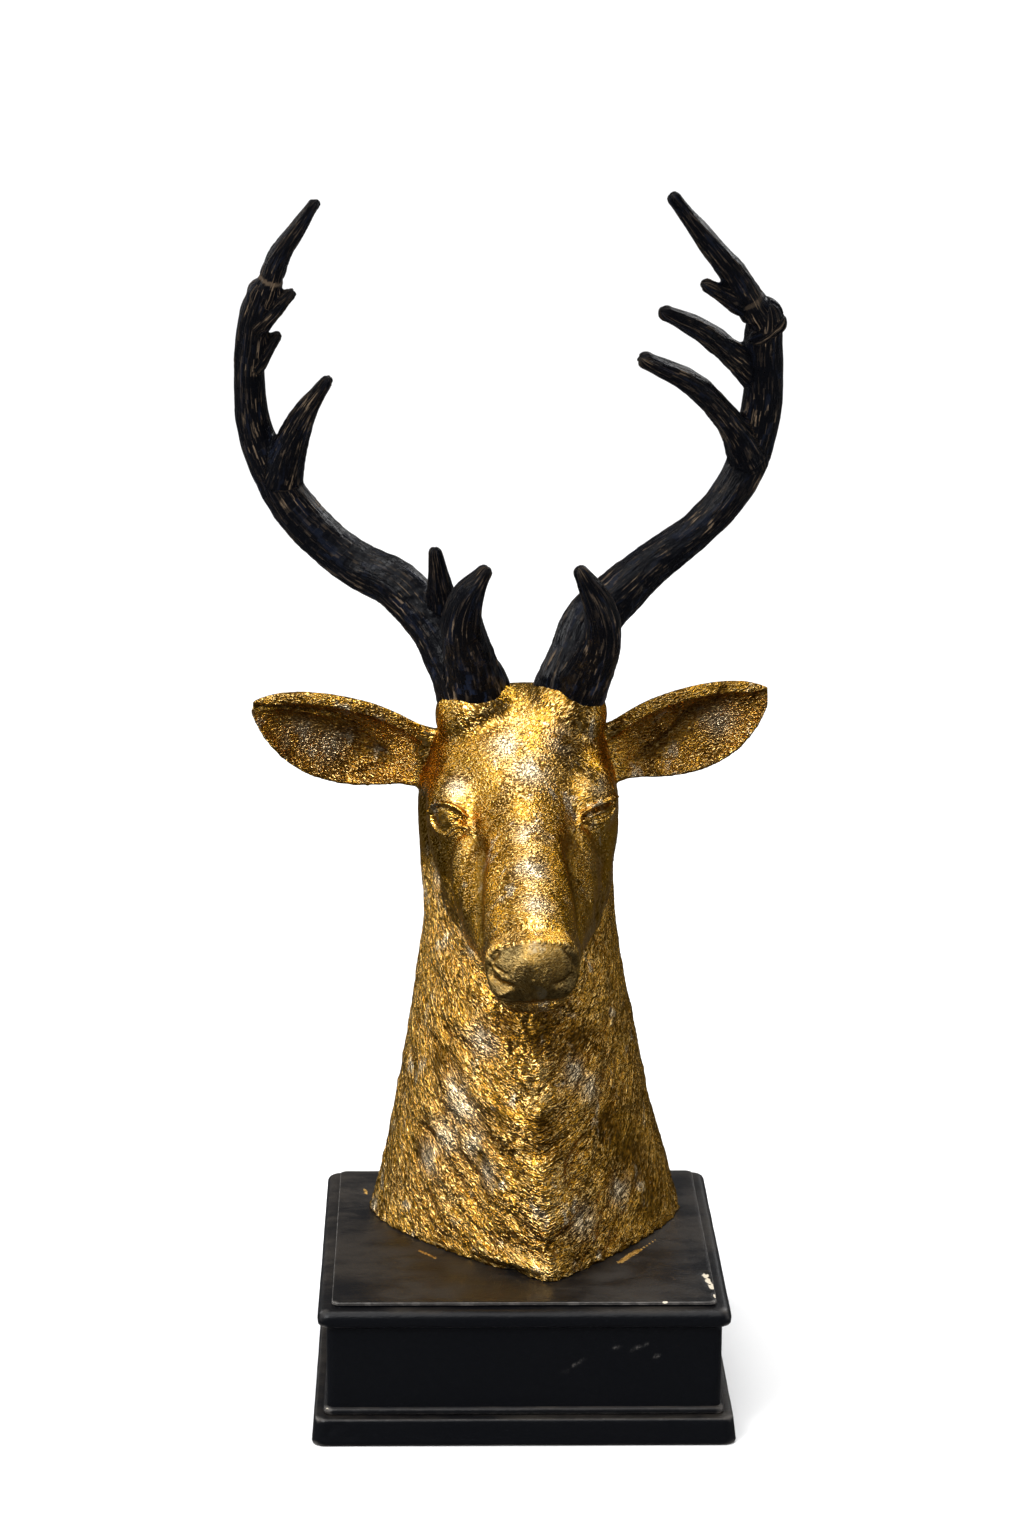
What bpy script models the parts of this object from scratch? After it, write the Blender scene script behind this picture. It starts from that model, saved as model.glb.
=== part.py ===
"""A resin stag head statue: a gilded neck and head with black antlers, standing on a black moulded plinth.

Metres, +Z up. The stag faces -Y, +X is on the viewer's right, and the origin is the middle of the
plinth's underside.
"""

import math

import bmesh
import bpy
import numpy as np
from mathutils import Matrix, Vector, noise

# Plinth: the waist's plan, then each member of the profile from the floor up
PLINTH_WIDTH = 0.3100
PLINTH_DEPTH = 0.3180
PLINTH_CORNER_RADIUS = 0.0070
SLAB_HEIGHT = 0.0224
SLAB_PROJECTION = 0.0118
SLAB_BATTER = 0.0020
SLAB_ROUNDING = 0.0026
BEAD_HEIGHT = 0.0063
BEAD_PROJECTION = 0.0030
WAIST_HEIGHT = 0.0640
COVE_HEIGHT = 0.0040
MOULDING_HEIGHT = 0.0132
MOULDING_PROJECTION = 0.0070
QUIRK_HEIGHT = 0.0012
QUIRK_SETBACK = 0.0012
PANEL_THICKNESS = 0.0030
PANEL_SETBACK = 0.0040
PANEL_ROUNDING = 0.0012

# Figure: foot of the neck to the highest antler tip, and how far it stands off the plinth's middle
FIGURE_HEIGHT = 0.8450
FIGURE_OFFSET = -0.0021

# Fits between the castings
SEAT_GAP = 0.0003
SOCKET_GAP = 0.0004
SOCKET_RADIUS = 0.0150
SOCKET_DEPTH = 0.0240

# Fineness of the surfaces, in figure units, and how many faces each casting keeps
SKIN_VOXEL = 2.6
ANTLER_VOXEL = 2.8
BODY_SMOOTHING = 26
SKIN_SMOOTHING = 3
HEAD_FACES = 6400
ANTLER_FACES = 950
CORNER_STEPS = 3
TUBE_SIDES = 16
PEG_SIDES = 20

PLINTH_HEIGHT = (
    SLAB_HEIGHT + BEAD_HEIGHT + WAIST_HEIGHT + COVE_HEIGHT + MOULDING_HEIGHT + QUIRK_HEIGHT + PANEL_THICKNESS
)

# The figure is laid out in its own units, 845 to its height, which makes a unit one millimetre at the
# modelled size. Figure space has its origin on the seat of the neck, in the middle of the plinth's top.
UNITS_IN_HEIGHT = 845.0
UNIT = FIGURE_HEIGHT / UNITS_IN_HEIGHT

# Neck sections from the foot up: height, half width, middle, keel, front, widest place, back, sharpness
NECK_SECTIONS = (
    (-14, 131, 6, 25, -118, 60, 142, 1.00),
    (0, 130, 7, 25, -115, 60, 140, 1.00),
    (56, 116, 7, 20, -109, 56, 133, 0.80),
    (108, 103.6, 4.1, 15, -99, 50, 126, 0.55),
    (160, 94.1, 3.1, 10, -87, 45, 119, 0.35),
    (212, 85, 1.5, 6, -72, 42, 112, 0.20),
    (261, 78, 1, 3, -57, 40, 106, 0.10),
    (304, 78.2, -1.4, 0, -44, 38, 101, 0.00),
    (345, 81.5, -0.6, 0, -30, 36, 98, 0.00),
    (370, 80, -0.8, 0, -20, 34, 95, 0.00),
    (394, 72, -1, 0, -10, 34, 90, 0.00),
    (415, 58, -1, 0, 2, 34, 82, 0.00),
    (434, 32, -1, 0, 16, 36, 64, 0.00),
)

# Head space: +X sideways, -Y forward along the face, +Z up out of the bridge of the nose
HEAD_ORIGIN = (-0.3, 20.0, 389.0)
HEAD_PITCH = math.radians(28.5)
HEAD_ROLL = math.radians(3.2)
HEAD_YAW = math.radians(-0.1)

# Head sections from the back of the skull to the lips: distance forward, top, bottom, and the half
# widths near the top, in the middle and near the bottom
HEAD_SECTIONS = (
    (-64, 8, -26, 16, 28, 22),
    (-57, 34, -46, 38, 51, 44),
    (-38, 55, -62, 54, 65, 56),
    (-10, 64, -74, 63, 72, 60),
    (25, 64, -82, 61, 76, 62),
    (56, 60, -86, 50, 76, 66),
    (80, 54, -85, 37, 69, 69),
    (105, 51, -82, 32, 63, 71),
    (132, 50, -76, 31, 57, 67),
    (160, 50, -63, 31, 51, 59),
    (195, 51, -45, 31, 42, 46),
    (226, 53, -28, 31, 37, 38),
    (250, 52, -17, 30, 35, 32),
    (268, 45, -8, 27, 32, 26),
    (279, 33, -1, 19, 24, 18),
)

# Eyes in head space: paths of the upper and the lower lid from the outer corner to the inner one,
# then the middle of the pupil. The right eye is carved narrower than the left.
EYES = {
    "left": (
        (
            (-72, -69, 17), (-67.5, -71, 26), (-58, -77, 32.5), (-48, -84, 31), (-43, -92, 26),
            (-38, -103, 24),
        ),
        (
            (-72, -69, 17), (-71, -76, 13), (-66.5, -82, 8.5), (-58.5, -90, 11), (-50, -91, 17),
            (-43, -93, 24),
        ),
        (-61, -82, 22),
    ),
    "right": (
        ((76, -62, 17), (68, -71, 22.5), (57, -82, 27), (46, -89, 26), (41, -98, 22)),
        ((76, -62, 17), (73.5, -72, 14), (67.5, -79, 12.5), (56, -88, 16), (48, -91, 19.5), (44, -94, 22)),
        (63, -78, 21),
    ),
}

# How an eye is carved: spread and lift of each form, and the half width and lift of each lid
EYE_HOLLOW_SPREAD = (19, 17, 13)
EYE_HOLLOW_SINK = 4.0
EYEBALL_SPREAD = (10, 10, 8)
EYEBALL_LIFT = 3.6
PUPIL_SPREAD = (3, 3, 3)
PUPIL_SINK = 1.6
UPPER_LID = (2.5, 3.8)
LOWER_LID = (2.2, 3.0)

# Lines carved on both halves of the face, on the left half's mirror image: path, half width, lift
FACE_LINES = (
    (((40, -112, 25), (35, -128, 28), (35, -155, 23), (35.5, -186, 15), (38, -208, 12)), 8.0, -3.6),
    (((42, -107, 16), (45, -121, 10.5), (47, -142, 6), (46, -160, 0)), 7.0, 2.6),
    (((62, -100, -18), (58, -124, -22), (52, -150, -22)), 12.0, -2.6),
    (((27, -258, 46), (31, -260, 38), (30, -264, 30), (25, -271, 27), (17, -277, 28)), 2.6, -4.5),
    (((32, -250, 46), (36, -254, 36), (35, -257, 26), (30, -264, 20), (22, -273, 19)), 2.6, 2.2),
    (((37, -240, 42), (39, -244, 30), (38, -248, 18), (33, -257, 11)), 2.6, -1.8),
    (((0, -254, 52), (12, -253, 51), (23, -252, 48), (29, -256, 45)), 2.4, 1.4),
    (((0, -282, 30), (0, -280, 14)), 2.4, -2.4),
    (
        ((0, -280, 10), (12, -279, 11), (24, -274, 11), (33, -262, 10), (38, -240, 3), (41, -210, -5)),
        2.4,
        -4.2,
    ),
    (((0, -276, 3), (14, -273, 3), (26, -262, 2)), 3.4, 1.8),
)

# Rounded masses that fill the head out, in head space: middle, then half sizes. Those of one side are
# repeated on the other: the eye's orbit, the jaw, and the swelling of the upper lip.
SIDE_MASSES = (
    ((48, -56, 12), (28, 40, 30)),
    ((41, -84, -42), (28, 56, 34)),
    ((21, -250, 30), (15, 20, 19)),
)
MIDDLE_MASSES = (
    ((0, -255, 34), (27, 22, 18)),
    ((0, -244, -7), (26, 25, 9)),
)

# The swellings of the skull that carry the antlers, in figure space
PEDICLE = (34.5, 9, 433)
PEDICLE_SHIFT = 0.7
PEDICLE_RADII = (35, 37, 34)

# Ear sections from the skull to the tip: share of the length, half height, depth of the shell
EAR_SECTIONS = (
    (-0.12, 30, 19),
    (0.00, 29, 20),
    (0.12, 29, 20),
    (0.24, 35, 19),
    (0.38, 40, 18),
    (0.52, 41, 17),
    (0.66, 38.5, 15),
    (0.79, 32, 12),
    (0.90, 22, 9),
    (0.97, 12, 6),
    (1.01, 5, 4),
)
EAR_SAG = 7.0
EAR_SAG_LATE = 1.5
EAR_TURN = math.radians(20.0)
EARS = {
    "left": ((-70, 34, 389), (-214.5, 42, 431.5), 1.0),
    "right": ((67, 34, 392), (200.5, 42, 443.7), 0.97),
}

# Antler limbs, each a smooth line through points with their own radius: x, y, z, radius
ANTLER_LIMBS = {
    "left": {
        "beam": (
            (-36, 14, 420, 27), (-37.8, 15, 450, 33.5), (-54, 24, 479, 26), (-71, 33, 504, 22.5),
            (-99, 46, 531, 22), (-137.5, 58, 550.2, 20.4), (-182, 67, 591.6, 19.5), (-209.2, 65, 647, 16),
            (-215, 54, 691, 13.8), (-210, 32, 741, 13.8), (-203, 18, 767, 12),
        ),
        "top": (
            (-199.5, 18, 765, 11.8), (-188, 6, 797, 10.2), (-173.5, -4, 818.5, 8), (-160.5, -13, 837.5, 5.4),
        ),
        "middle": (
            (-191, 66, 616, 20), (-180.5, 50, 648, 14.4), (-169.5, 32, 672, 10.6), (-152.5, 10, 699, 5.7),
        ),
        "nub": ((-208, 42, 708, 8.5), (-192, 34, 731, 5)),
        "spur": ((-204, 26, 742, 10.5), (-181, 12, 766, 5.8)),
        "brow": (
            (-31.5, 13, 440, 28), (-41.8, -17, 487, 22), (-47, -42, 518, 17.8), (-42.7, -55, 541, 14.2),
            (-30.6, -61, 560.5, 6.8),
        ),
        "bez": ((-60, 30, 508, 15), (-64.5, 12, 540, 10.4), (-67.5, -2, 565.5, 6)),
    },
    "right": {
        "beam": (
            (35, 14, 420, 27), (38.5, 15, 450, 32), (45.8, 22, 477, 26), (57, 32, 504, 24.8),
            (76.5, 40, 523.3, 22.4), (104.5, 52, 546.6, 19.2), (138.8, 62, 569.6, 17.3),
            (165.3, 67, 597.3, 17),
            (182.8, 68, 630, 18), (192.4, 60, 678, 17.6), (190.4, 44, 724, 17), (190.5, 30, 749, 15),
        ),
        "top": ((184, 28, 750, 14.5), (165.5, 14, 781, 12.5), (140.5, 0, 812, 9.6), (115.5, -12, 843, 6.2)),
        "knob": ((188, 34, 737, 14), (197.8, 30, 743.3, 10.5)),
        "upper": ((186, 55, 699, 15), (166.5, 38, 717.5, 12), (139, 14, 739.5, 10), (111, -6, 754.5, 6.8)),
        "lower": (
            (183, 66, 632, 19), (165, 48, 662.5, 12.5), (134.5, 20, 695.7, 10.8), (95.5, -8, 718.2, 7.3),
        ),
        "spur": ((172, 22, 758, 11), (142.5, 0, 775.5, 6)),
        "brow": (
            (41, 13, 440, 26), (56, -17, 481, 20.7), (63, -40, 508, 16.4), (58.6, -53, 534, 13.8),
            (45, -61, 560.5, 6.8),
        ),
    },
}
TINE_FLATTENING = 0.92

# Fur of the neck, in figure units: the slant of the locks towards the keel, the size and lift of a tuft,
# of the broad swags and of the folds between them, and where the carving starts, ends and gets plainer
FUR_SLANT = math.radians(38.0)
TUFT_WIDTH = 13.0
TUFT_LENGTH = 40.0
TUFT_LIFT = 2.6
SWAG_SIZE = 52.0
SWAG_LIFT = 2.0
FOLD_SPACING = 28.6
FOLD_DROOP = 0.7
FOLD_LIFT = 0.45
FUR_TOP = 300.0
FUR_FADE = 90.0
FUR_FOOT = 4.0
FUR_FOOT_FADE = 16.0
FUR_FRONT = 60.0
PLAIN_BACK = 0.35

GOLD = (0.55, 0.34, 0.09, 1.0)
ANTLER_BLACK = (0.012, 0.013, 0.017, 1.0)
PLINTH_BLACK = (0.018, 0.018, 0.020, 1.0)


def clear_scene():
    for thing in list(bpy.data.objects):
        bpy.data.objects.remove(thing, do_unlink=True)


def finish_material(name, colour, roughness, metallic):
    material = bpy.data.materials.new(name)
    material.use_nodes = True
    shader = material.node_tree.nodes["Principled BSDF"]
    shader.inputs["Base Color"].default_value = colour
    shader.inputs["Roughness"].default_value = roughness
    shader.inputs["Metallic"].default_value = metallic
    return material


def add_object(name, mesh, material=None):
    thing = bpy.data.objects.new(name, mesh)
    bpy.context.scene.collection.objects.link(thing)
    if material:
        mesh.materials.clear()
        mesh.materials.append(material)
    return thing


def mesh_from(builder, name):
    """Turns a bmesh into a mesh with its faces pointing out."""
    bmesh.ops.recalc_face_normals(builder, faces=builder.faces)
    mesh = bpy.data.meshes.new(name)
    builder.to_mesh(mesh)
    builder.free()
    return mesh


def evaluated_mesh(thing):
    """A mesh of the object with its modifiers applied."""
    bpy.context.view_layer.update()
    graph = bpy.context.evaluated_depsgraph_get()
    return bpy.data.meshes.new_from_object(thing.evaluated_get(graph), depsgraph=graph)


def loft(builder, rings):
    """A closed skin through rings that have the same number of points."""
    loops = [[builder.verts.new(point) for point in ring] for ring in rings]
    for near, far in zip(loops, loops[1:]):
        for i in range(len(near)):
            builder.faces.new((near[i - 1], near[i], far[i], far[i - 1]))
    builder.faces.new(reversed(loops[0]))
    builder.faces.new(loops[-1])


def smooth_rows(rows, steps):
    """Rows of numbers with steps - 1 more between each pair, on a Catmull-Rom curve through them."""
    rows = [np.array(row, float) for row in rows]
    ends = [2 * rows[0] - rows[1], *rows, 2 * rows[-1] - rows[-2]]
    out = []
    for before, start, end, after in zip(ends, ends[1:], ends[2:], ends[3:]):
        for step in range(steps):
            t = step / steps
            bend = 2 * before - 5 * start + 4 * end - after
            twist = 3 * (start - end) + after - before
            out.append(0.5 * (2 * start + (end - before) * t + bend * t * t + twist * t ** 3))
    out.append(rows[-1])
    return out


def rounded_rectangle(half_width, half_depth, radius, height):
    """Points of a rectangle with round corners, anticlockwise seen from above."""
    points = []
    for corner in range(4):
        sign_x = (1, -1, -1, 1)[corner]
        sign_y = (1, 1, -1, -1)[corner]
        for step in range(CORNER_STEPS + 1):
            angle = math.pi / 2 * (corner + step / CORNER_STEPS)
            x = sign_x * (half_width - radius) + radius * math.cos(angle)
            y = sign_y * (half_depth - radius) + radius * math.sin(angle)
            points.append((x, y, height))
    return points


def quarter(start, end, hollow, steps=4):
    """A quarter of an ellipse between two points of a profile, bulging out or, if hollow, in."""
    points = []
    for step in range(1, steps + 1):
        angle = math.pi / 2 * step / steps
        out, up = math.sin(angle), 1 - math.cos(angle)
        if hollow:
            out, up = 1 - math.cos(angle), math.sin(angle)
        points.append((start[0] + (end[0] - start[0]) * out, start[1] + (end[1] - start[1]) * up))
    return points


def plinth_profile():
    """The plinth's profile from the floor up, as distances out from the waist and heights."""
    slab_top = SLAB_HEIGHT
    bead_top = slab_top + BEAD_HEIGHT
    waist_top = bead_top + WAIST_HEIGHT
    cove_top = waist_top + COVE_HEIGHT
    moulding_top = cove_top + MOULDING_HEIGHT
    quirk_top = moulding_top + QUIRK_HEIGHT
    upper_slab = SLAB_PROJECTION - SLAB_BATTER
    bead_middle = slab_top + BEAD_HEIGHT / 2
    moulding_middle = cove_top + MOULDING_HEIGHT * 0.45
    profile = [(SLAB_PROJECTION - SLAB_ROUNDING, 0.0)]
    profile += quarter(profile[-1], (SLAB_PROJECTION, SLAB_ROUNDING), hollow=False, steps=2)
    profile.append((upper_slab, slab_top - SLAB_ROUNDING))
    profile += quarter(profile[-1], (upper_slab - SLAB_ROUNDING, slab_top), hollow=True, steps=2)
    profile.append((BEAD_PROJECTION * 0.4, slab_top))
    profile += quarter(profile[-1], (BEAD_PROJECTION, bead_middle), hollow=False, steps=2)
    profile += quarter(profile[-1], (0.0, bead_top), hollow=True, steps=2)
    profile.append((0.0, waist_top))
    profile += quarter(profile[-1], (MOULDING_PROJECTION * 0.75, cove_top), hollow=True, steps=2)
    profile += quarter(profile[-1], (MOULDING_PROJECTION, moulding_middle), hollow=False, steps=2)
    profile += quarter(profile[-1], (QUIRK_SETBACK, moulding_top), hollow=True, steps=4)
    profile.append((-PANEL_SETBACK - QUIRK_SETBACK, moulding_top))
    profile.append((-PANEL_SETBACK - QUIRK_SETBACK, quirk_top))
    profile.append((-PANEL_SETBACK, quirk_top + PANEL_ROUNDING / 2))
    profile.append((-PANEL_SETBACK, PLINTH_HEIGHT - PANEL_ROUNDING))
    profile += quarter(profile[-1], (-PANEL_SETBACK - PANEL_ROUNDING, PLINTH_HEIGHT), hollow=True, steps=2)
    return profile


def make_plinth(material):
    rings = []
    for out, height in plinth_profile():
        radius = PLINTH_CORNER_RADIUS + 0.25 * out
        rings.append(rounded_rectangle(PLINTH_WIDTH / 2 + out, PLINTH_DEPTH / 2 + out, radius, height))
    builder = bmesh.new()
    loft(builder, rings)
    plinth = add_object("plinth", mesh_from(builder, "plinth"), material)
    plinth.data.shade_smooth()
    plinth.data.set_sharp_from_angle(angle=math.radians(35))
    return plinth


def figure_matrix():
    """Figure units on the plinth's top to metres in the world."""
    return Matrix.Translation((FIGURE_OFFSET, 0, PLINTH_HEIGHT + SEAT_GAP)) @ Matrix.Scale(UNIT, 4)


def head_matrix():
    """Head space to figure space."""
    turn = Matrix.Rotation(HEAD_YAW, 4, "Z") @ Matrix.Rotation(-HEAD_ROLL, 4, "Y")
    return Matrix.Translation(HEAD_ORIGIN) @ turn @ Matrix.Rotation(HEAD_PITCH, 4, "X")


def neck_ring(section, sides=48):
    """One section of the neck: an oval whose front half narrows to a keel, sharp at the foot."""
    height, half_width, middle, keel, front, widest, back, sharpness = section
    power = 2 - 0.53 * sharpness
    squash = 0.5 + 0.5 * sharpness
    points = []
    for side in range(sides):
        angle = math.tau * side / sides
        reach = math.cos(angle)
        if reach > 0:
            share = 1 - (1 - reach) ** (1 + 0.6 * sharpness)
            across = (1 - share ** power) ** squash
            y = widest + (front - widest) * share
            centre = middle + (keel - middle) * share * share
        else:
            across = abs(math.sin(angle))
            y = widest - (back - widest) * reach
            centre = middle
        points.append((centre + math.copysign(half_width * across, math.sin(angle)), y, height))
    return points


def head_ring(section, sides=40):
    """One section across the head, in head space: rounded, with its own width at three levels."""
    forward, top, bottom, upper, middle, lower = section
    pull = 2 * middle - (upper + lower) / 2
    points = []
    for side in range(sides):
        angle = math.tau * side / sides
        down = (1 - math.cos(angle)) / 2
        width = upper * (1 - down) ** 2 + 2 * pull * down * (1 - down) + lower * down * down
        across = math.copysign(abs(math.sin(angle)) ** 0.72, math.sin(angle))
        points.append(Vector((width * across, -forward, top + (bottom - top) * down)))
    return points


def ear_rings(root, tip, size, outward):
    """Sections of an ear: a leaf-shaped shell, hollow in front, with a thick rolled upper rim."""
    root = Vector(root)
    axis = Vector(tip) - root
    along = axis.normalized()
    front = Vector((0, -math.cos(EAR_TURN), -math.sin(EAR_TURN)))
    front = (front - along * front.dot(along)).normalized()
    up = along.cross(front) * outward
    rings = []
    for share, half_height, depth in smooth_rows(EAR_SECTIONS, 2):
        half_height *= size
        sag = EAR_SAG * math.sin(math.pi * min(max(share, 0.0), 1.0) ** EAR_SAG_LATE)
        centre = root + axis * share - up * sag
        opening = min(max((share - 0.02) / 0.2, 0.0), 1.0)
        steps = 12
        ring = []
        for step in range(steps + 1):
            angle = math.pi * step / steps
            ring.append(centre + up * half_height * math.cos(angle) - front * depth * math.sin(angle))
        for step in range(steps, -1, -1):
            angle = math.pi * step / steps
            wall = (7.5 + 3.0 * math.cos(angle)) * min(half_height / 22, 1.0)
            hollow = (depth - wall * 0.8) * opening - 5.0 * (1 - opening)
            lip = 3.0 * min(half_height / 22, 1.0) * abs(math.cos(angle)) ** 6
            ring.append(
                centre
                + up * (half_height - wall) * math.cos(angle)
                - front * (hollow * math.sin(angle) - lip)
            )
        rings.append(ring)
    return rings


def limb_rings(points):
    """Round sections along a smooth line, each square to it, that close to a blunt tip."""
    rows = smooth_rows(points, 4)
    rings = []
    across = Vector((0, 1, 0))
    for i, row in enumerate(rows):
        here = Vector(row[:3])
        ahead = Vector(rows[min(i + 1, len(rows) - 1)][:3])
        behind = Vector(rows[max(i - 1, 0)][:3])
        along = (ahead - behind).normalized()
        across = (across - along * across.dot(along)).normalized()
        third = along.cross(across)
        ring = []
        for side in range(TUBE_SIDES):
            angle = math.tau * side / TUBE_SIDES
            reach = across * math.cos(angle) + third * math.sin(angle) * TINE_FLATTENING
            ring.append(here + reach * row[3])
        rings.append(ring)
    return rings


def add_ball(builder, centre, radii, matrix):
    """An ellipsoid with its own half sizes along the axes of the space that the matrix leaves."""
    shape = matrix @ Matrix.Translation(centre) @ Matrix.Diagonal((*radii, 1))
    bmesh.ops.create_icosphere(builder, subdivisions=3, radius=1.0, matrix=shape)


def head_form():
    """The neck and head as plain overlapping forms in figure space."""
    to_figure = head_matrix()
    builder = bmesh.new()
    loft(builder, [neck_ring(section) for section in smooth_rows(NECK_SECTIONS, 3)])
    sections = smooth_rows(HEAD_SECTIONS, 3)
    loft(builder, [[to_figure @ point for point in head_ring(section)] for section in sections])
    for centre, radii in MIDDLE_MASSES:
        add_ball(builder, centre, radii, to_figure)
    for side in (-1, 1):
        for (x, y, z), radii in SIDE_MASSES:
            add_ball(builder, (x * side, y, z), radii, to_figure)
        x, y, z = PEDICLE
        add_ball(builder, (x * side + PEDICLE_SHIFT, y, z), PEDICLE_RADII, Matrix())
    return mesh_from(builder, "head_form")


def ear_form():
    builder = bmesh.new()
    for side, outward in (("left", 1), ("right", -1)):
        loft(builder, ear_rings(*EARS[side], outward))
    return mesh_from(builder, "ear_form")


def path_distance(points, path):
    """Each point's distance to a path of straight runs."""
    nearest = np.full(len(points), np.inf)
    path = np.array(path, float)
    for start, end in zip(path, path[1:]):
        run = end - start
        share = np.clip((points - start) @ run / (run @ run), 0, 1)
        gap = np.linalg.norm(points - start - share[:, None] * run, axis=1)
        nearest = np.minimum(nearest, gap)
    return nearest


def on_skin(points, path):
    """A smooth path through the given places, each moved to the nearest point of the skin."""
    places = []
    for row in smooth_rows(path, 5):
        place = points[np.argmin(((points - row) ** 2).sum(axis=1))]
        if not places or not np.allclose(place, places[-1]):
            places.append(place)
    return places


def raised_line(points, path, width, height):
    """How far a rounded ridge along a path lifts each point; a negative height is a groove."""
    return height * np.exp(-((path_distance(points, on_skin(points, path)) / width) ** 2))


def raised_spot(points, centre, radii, height):
    """How far a soft swelling lifts each point; a negative height is a dent."""
    middle = points[np.argmin(((points - centre) ** 2).sum(axis=1))]
    return height * np.exp(-((((points - middle) / radii) ** 2).sum(axis=1)))


def eye_relief(points, upper, lower, pupil):
    """Lift of one eye: a sunk socket, the ball within it, and a rolled lid above and below."""
    lift = raised_spot(points, pupil, EYE_HOLLOW_SPREAD, -EYE_HOLLOW_SINK)
    lift += raised_spot(points, pupil, EYEBALL_SPREAD, EYEBALL_LIFT)
    lift += raised_spot(points, pupil, PUPIL_SPREAD, -PUPIL_SINK)
    lids = np.maximum(raised_line(points, upper, *UPPER_LID), raised_line(points, lower, *LOWER_LID))
    return lift + lids


def face_relief(points):
    """Lift of the face's carving at points in head space: eyes, bridge, nostrils and lips."""
    lift = np.zeros(len(points))
    for upper, lower, pupil in EYES.values():
        lift += eye_relief(points, upper, lower, pupil)
    half = points.copy()
    half[:, 0] = np.abs(half[:, 0])
    for path, width, height in FACE_LINES:
        lift += raised_line(half, path, width, height)
    return lift


def fur_relief(points):
    """Lift of the neck's combed locks at points in figure space: long tufts that run down to the keel."""
    height = points[:, 2]
    keel = np.interp(height, [row[0] for row in NECK_SECTIONS], [row[3] for row in NECK_SECTIONS])
    aside = np.abs(points[:, 0] - keel)
    across = aside * math.cos(FUR_SLANT) - height * math.sin(FUR_SLANT)
    along = aside * math.sin(FUR_SLANT) + height * math.cos(FUR_SLANT)
    combed = np.stack([across / TUFT_WIDTH, along / TUFT_LENGTH, points[:, 1] / TUFT_LENGTH], axis=1)
    tufts = np.array([noise.noise(Vector(point)) for point in combed])
    swags = np.array([noise.noise(Vector(point) / SWAG_SIZE) for point in points])
    folds = np.sin(math.tau * ((height - FOLD_DROOP * aside) / FOLD_SPACING + swags))
    front = np.clip((FUR_FRONT - points[:, 1]) / FUR_FRONT, PLAIN_BACK, 1)
    fade = np.clip((FUR_TOP - height) / FUR_FADE, 0, 1) * np.clip((height - FUR_FOOT) / FUR_FOOT_FADE, 0, 1)
    return (TUFT_LIFT * tufts + FOLD_LIFT * folds + SWAG_LIFT * swags) * front * fade


def carve(mesh):
    """Moves the skin along its normals by the relief of the face and the neck."""
    count = len(mesh.vertices)
    points = np.empty(count * 3, np.float32)
    normals = np.empty(count * 3, np.float32)
    mesh.vertices.foreach_get("co", points)
    mesh.vertex_normals.foreach_get("vector", normals)
    points = points.reshape(-1, 3).astype(float)
    normals = normals.reshape(-1, 3)
    to_head = np.array(head_matrix().inverted())
    in_head = points @ to_head[:3, :3].T + to_head[:3, 3]
    lift = face_relief(in_head) + fur_relief(points)
    mesh.vertices.foreach_set("co", (points + normals * lift[:, None]).astype(np.float32).ravel())
    mesh.update()


def remeshed(meshes, name, voxel, smoothing):
    """The forms of several meshes run together into one skin, with its creases softened."""
    builder = bmesh.new()
    for mesh in meshes:
        builder.from_mesh(mesh)
    joined = bpy.data.meshes.new(name)
    builder.to_mesh(joined)
    builder.free()
    thing = add_object(name, joined)
    remesh = thing.modifiers.new("one skin", "REMESH")
    remesh.mode = "VOXEL"
    remesh.voxel_size = voxel
    soften = thing.modifiers.new("soften", "SMOOTH")
    soften.factor = 0.5
    soften.iterations = smoothing
    skin = evaluated_mesh(thing)
    bpy.data.objects.remove(thing, do_unlink=True)
    return skin


def reduced(mesh, name, faces):
    """The mesh in world metres with about the given number of triangles."""
    mesh.transform(figure_matrix())
    thing = add_object(name, mesh)
    thin = thing.modifiers.new("fewer faces", "DECIMATE")
    triangles = sum(len(face.vertices) - 2 for face in mesh.polygons)
    thin.ratio = min(1.0, faces / triangles)
    out = evaluated_mesh(thing)
    bpy.data.objects.remove(thing, do_unlink=True)
    return out


def cutter(name, mesh):
    """A helper that shapes other pieces and isn't one itself."""
    thing = add_object(name, mesh)
    thing.hide_render = True
    thing.display_type = "WIRE"
    return thing


def combine(thing, operation, other):
    step = thing.modifiers.new(f"{operation.lower()} {other.name}", "BOOLEAN")
    step.operation = operation
    step.solver = "EXACT"
    step.object = other


def peg_mesh(side, radius, below, above):
    """A round peg on the root of an antler, from below the skull's surface to inside the antler."""
    root, base = ANTLER_LIMBS[side]["beam"][:2]
    to_world = figure_matrix()
    surface = to_world @ Vector(base[:3])
    along = (surface - to_world @ Vector(root[:3])).normalized()
    centre = surface + along * (above - below) / 2
    shape = Matrix.Translation(centre) @ along.to_track_quat("Z", "Y").to_matrix().to_4x4()
    depth = below + above
    builder = bmesh.new()
    bmesh.ops.create_cone(
        builder, cap_ends=True, segments=PEG_SIDES, radius1=radius, radius2=radius, depth=depth, matrix=shape
    )
    return mesh_from(builder, f"peg_{side}")


def floor_block():
    """A block from the seat of the neck down, which cuts its foot flat."""
    seat = PLINTH_HEIGHT + SEAT_GAP
    builder = bmesh.new()
    shape = Matrix.Translation((0, 0, seat - PLINTH_HEIGHT / 2)) @ Matrix.Diagonal(
        (2 * PLINTH_WIDTH, 2 * PLINTH_DEPTH, PLINTH_HEIGHT, 1)
    )
    bmesh.ops.create_cube(builder, size=1.0, matrix=shape)
    return mesh_from(builder, "floor_block")


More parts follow.
